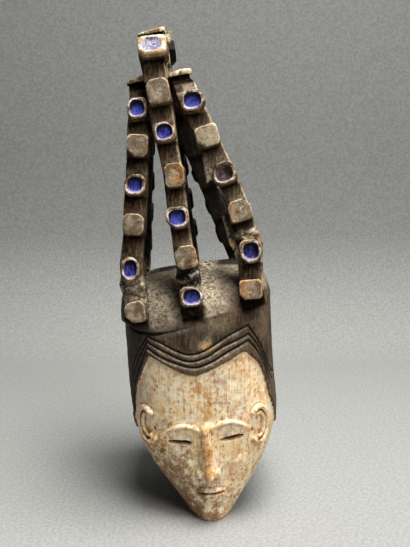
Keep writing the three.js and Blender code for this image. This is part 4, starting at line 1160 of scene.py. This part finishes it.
off = N.math("ADD", N.mask("worn"), N.math("ADD", N.math("MULTIPLY", N.math("SUBTRACT", blotch, 0.5), 1.3), N.math("ADD", fray, N.math("ADD", N.math("MULTIPLY", fray_fine, 1.4), N.math("MULTIPLY", N.math("SUBTRACT", grain, 0.5), 1.1)))))
paint = N.blend(N.step(off, 0.34, 1.15, 0, 0.85), paint, under)
paint = N.blend(N.step(N.math("ADD", curv, N.math("ADD", fray, fray_fine)), 0.6, 1.4, 0, 0.6), paint, srgb(214, 162, 100))
# soiling low on the face and painted shade over its left side darken the kaolin
grime_and_shade = N.math("ADD", N.mask("dirt_and_shade"), N.math("ADD", N.math("MULTIPLY", N.math("SUBTRACT", broad, 0.5), 1.2), N.math("ADD", fray, N.math("MULTIPLY", fray_fine, 1.5))))
paint = N.blend(N.step(grime_and_shade, 0.24, 0.92, 0, 0.80), paint, srgb(130, 90, 62))
# flecks in clusters along the grain, and pits
cluster = N.math("ADD", N.math("MULTIPLY", N.math("SUBTRACT", blotch, 0.5), 0.5), N.math("MULTIPLY", N.mask("dirt_and_shade"), 0.12))
fleck = N.math("ADD", grain, N.math("ADD", N.math("MULTIPLY", N.math("SUBTRACT", speck, 0.5), 0.6), N.math("MULTIPLY", cluster, 0.6)))
paint = N.blend(N.step(fleck, 0.70, 0.94, 0, 0.75), paint, srgb(150, 98, 54))
paint = N.blend(N.step(N.math("ADD", speck, cluster), 0.66, 0.90, 0, 0.6), paint, srgb(122, 82, 50))
paint = N.blend(N.step(N.math("ADD", N.math("ADD", pits, cluster), N.math("MULTIPLY", N.math("SUBTRACT", broad, 0.5), 0.5)), 0.80, 0.98, 0, 0.45), paint, srgb(92, 62, 40))
paint = N.blend(N.step(curv, -0.25, -0.95, 0, 0.8), paint, srgb(84, 56, 36))
line = N.math("ADD", hair, N.math("MULTIPLY", fray_fine, 2.6))
is_hair = N.step(line, -0.4, 0.8)
colour = N.blend(is_hair, paint, wood)
hollow = N.blend(N.step(blotch, 0.36, 0.66), srgb(60, 44, 31), srgb(98, 76, 54))
colour = N.blend(N.mask("inner"), colour, hollow)

shader = N.new("ShaderNodeBsdfPrincipled")
N.put(shader.inputs["Base Color"], colour)
gloss = N.math("MULTIPLY", N.mask("shine"), N.step(dust, 0.34, 0.56))
rough = N.step(blotch, 0.3, 0.7, 0.60, 0.84)
rough = N.math("SUBTRACT", rough, N.math("MULTIPLY", gloss, 0.42), clamp=True)
N.put(shader.inputs["Roughness"], rough)
level = N.math("MULTIPLY_ADD", gloss, 0.4, 0.22)
N.put(shader.inputs["Specular IOR Level"], N.math("MULTIPLY", level, N.math("SUBTRACT", 1.0, N.mask("under"), clamp=True)))
height = N.math("ADD", N.math("MULTIPLY", grain, 0.35), N.math("ADD", N.math("MULTIPLY", mottle, 0.6), N.math("MULTIPLY", speck, 0.35)))
height = N.math("SUBTRACT", height, N.math("MULTIPLY", N.step(N.mask("groove"), 1.9, 0.3), N.math("MULTIPLY", is_hair, 0.9)))
height = N.math("ADD", height, N.math("MULTIPLY", N.math("ADD", is_hair, N.math("MULTIPLY", N.step(off, 0.5, 0.8), -0.5)), 0.2))
bump = N.new("ShaderNodeBump")
bump.inputs["Strength"].default_value = 0.7
bump.inputs["Distance"].default_value = 0.0017
N.put(bump.inputs["Height"], height)
N.put(shader.inputs["Normal"], bump.outputs[0])
N.put(N.new("ShaderNodeOutputMaterial").inputs[0], shader.outputs[0])
mesh.materials.clear()
mesh.materials.append(material)

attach(ob, "root")
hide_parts("helmet_mask")

# ---- floor, light, camera -----------------------------------------------------------------
# A pale sheet that turns up in a curve behind the mask.
BEND_AT, BEND_R = 0.52, 0.22
profile = [(-3.0, 0.0), (BEND_AT, 0.0)]
for i in range(1, 25):
    a = math.pi / 2 * i / 24
    profile.append((BEND_AT + BEND_R * math.sin(a), BEND_R - BEND_R * math.cos(a)))
profile.append((BEND_AT + BEND_R, 3.0))
points, faces = [], []
for x in (-9.0, 9.0):
    points += [(x, y, z - 0.0002) for y, z in profile]
k = len(profile)
for i in range(k - 1):
    faces.append((i, k + i, k + i + 1, i + 1))
sheet = bpy.data.meshes.new("floor")
sheet.from_pydata(points, [], faces)
for p in sheet.polygons:
    p.use_smooth = True
floor = bpy.data.objects.new("floor", sheet)
bpy.context.scene.collection.objects.link(floor)
GREY = (0.27, 0.27, 0.265, 1)
paper = bpy.data.materials.new("paper")
P = Nodes(paper)
shade = P.new("ShaderNodeBsdfPrincipled")
fleck = P.noise(260, 4, 0.6, seed=2)
P.at = P.new("ShaderNodeTexCoord").outputs["Object"]
cut = P.new("ShaderNodeSeparateXYZ")
P.put(cut.inputs[0], P.at)
plain = P.blend(P.step(fleck, 0.3, 0.7), srgb(166, 167, 165), srgb(182, 183, 181))
# painted shade: the sheet is darker where it rises into the wall behind the mask
P.put(shade.inputs["Base Color"], P.blend(P.step(cut.outputs[2], -0.20, 0.42), plain, P.blend(P.step(fleck, 0.3, 0.7), srgb(120, 121, 120), srgb(136, 137, 136))))
shade.inputs["Roughness"].default_value = 0.9
# away from the lamps the sheet glows plain grey to the camera, a painted light which lights nothing
far = P.math("SQRT", P.math("ADD", P.math("MULTIPLY", cut.outputs[0], cut.outputs[0]), P.math("MULTIPLY", cut.outputs[1], cut.outputs[1])))
glow, fade = P.new("ShaderNodeEmission"), P.new("ShaderNodeMixShader")
glow.inputs[0].default_value = GREY
P.put(fade.inputs[0], P.math("MULTIPLY", P.step(far, 1.0, 2.0), P.new("ShaderNodeLightPath").outputs["Is Camera Ray"]))
P.put(fade.inputs[1], shade.outputs[0])
P.put(fade.inputs[2], glow.outputs[0])
paper.cycles.emission_sampling = "NONE"
# seen from behind, the sheet isn't there
both = P.new("ShaderNodeMixShader")
P.put(both.inputs[0], P.new("ShaderNodeNewGeometry").outputs["Backfacing"])
P.put(both.inputs[1], fade.outputs[0])
P.put(both.inputs[2], P.new("ShaderNodeBsdfTransparent").outputs[0])
P.put(P.new("ShaderNodeOutputMaterial").inputs[0], both.outputs[0])
sheet.materials.append(paper)


def lamp(name, at, aim, size, power, colour=(1, 1, 1)):
    data = bpy.data.lights.new(name, "AREA")
    data.shape = "DISK"
    data.size, data.energy, data.color = size, power, colour
    o = bpy.data.objects.new(name, data)
    bpy.context.scene.collection.objects.link(o)
    o.location = at
    o.rotation_euler = (Vector(aim) - Vector(at)).to_track_quat("-Z", "Y").to_euler()
    return o


key = lamp("key", (0.28, -0.34, 1.95), (0.0, -0.05, 0.22), 1.0, 24.5, (1.0, 0.985, 0.955))
key.data.spread = math.radians(120)
side = lamp("side", (1.6, -1.5, 1.0), (0.0, 0.0, 0.25), 1.8, 7.5, (1.0, 0.98, 0.95))
front = lamp("front", (0.80, -1.35, 1.70), (0.0, -0.05, 0.30), 0.9, 19, (1.0, 0.98, 0.95))
fill = lamp("fill", (-1.3, -1.9, 0.8), (0.0, 0.0, 0.25), 1.6, 0.2, (0.93, 0.965, 1.0))
world = bpy.data.worlds.new("soft")
bpy.context.scene.world = world
world.use_nodes = True
W = world.node_tree
dim = W.nodes["Background"]
dim.inputs[0].default_value = (0.84, 0.87, 0.92, 1)
dim.inputs[1].default_value = 0.014
# past the sheet's edge the camera sees plain pale grey, which lights nothing
seen, which, out = W.nodes.new("ShaderNodeBackground"), W.nodes.new("ShaderNodeMixShader"), W.nodes["World Output"]
seen.inputs[0].default_value = GREY
W.links.new(W.nodes.new("ShaderNodeLightPath").outputs["Is Camera Ray"], which.inputs[0])
W.links.new(dim.outputs[0], which.inputs[1])
W.links.new(seen.outputs[0], which.inputs[2])
W.links.new(which.outputs[0], out.inputs[0])
bpy.context.scene.view_settings.view_transform = "Standard"

camera = bpy.data.cameras.new("camera")
camera.sensor_fit = "VERTICAL"
camera.sensor_height = 36.0
camera.lens = 36.0 * 794 / 547
camera.clip_start, camera.clip_end = 0.05, 20
eye = bpy.data.objects.new("camera", camera)
bpy.context.scene.collection.objects.link(eye)
eye.location = (MIDDLE[0] / 1000, (-942 + MIDDLE[1]) / 1000, 0.457)
eye.rotation_euler = (math.radians(90 - 11), 0, 0)
bpy.context.scene.camera = eye
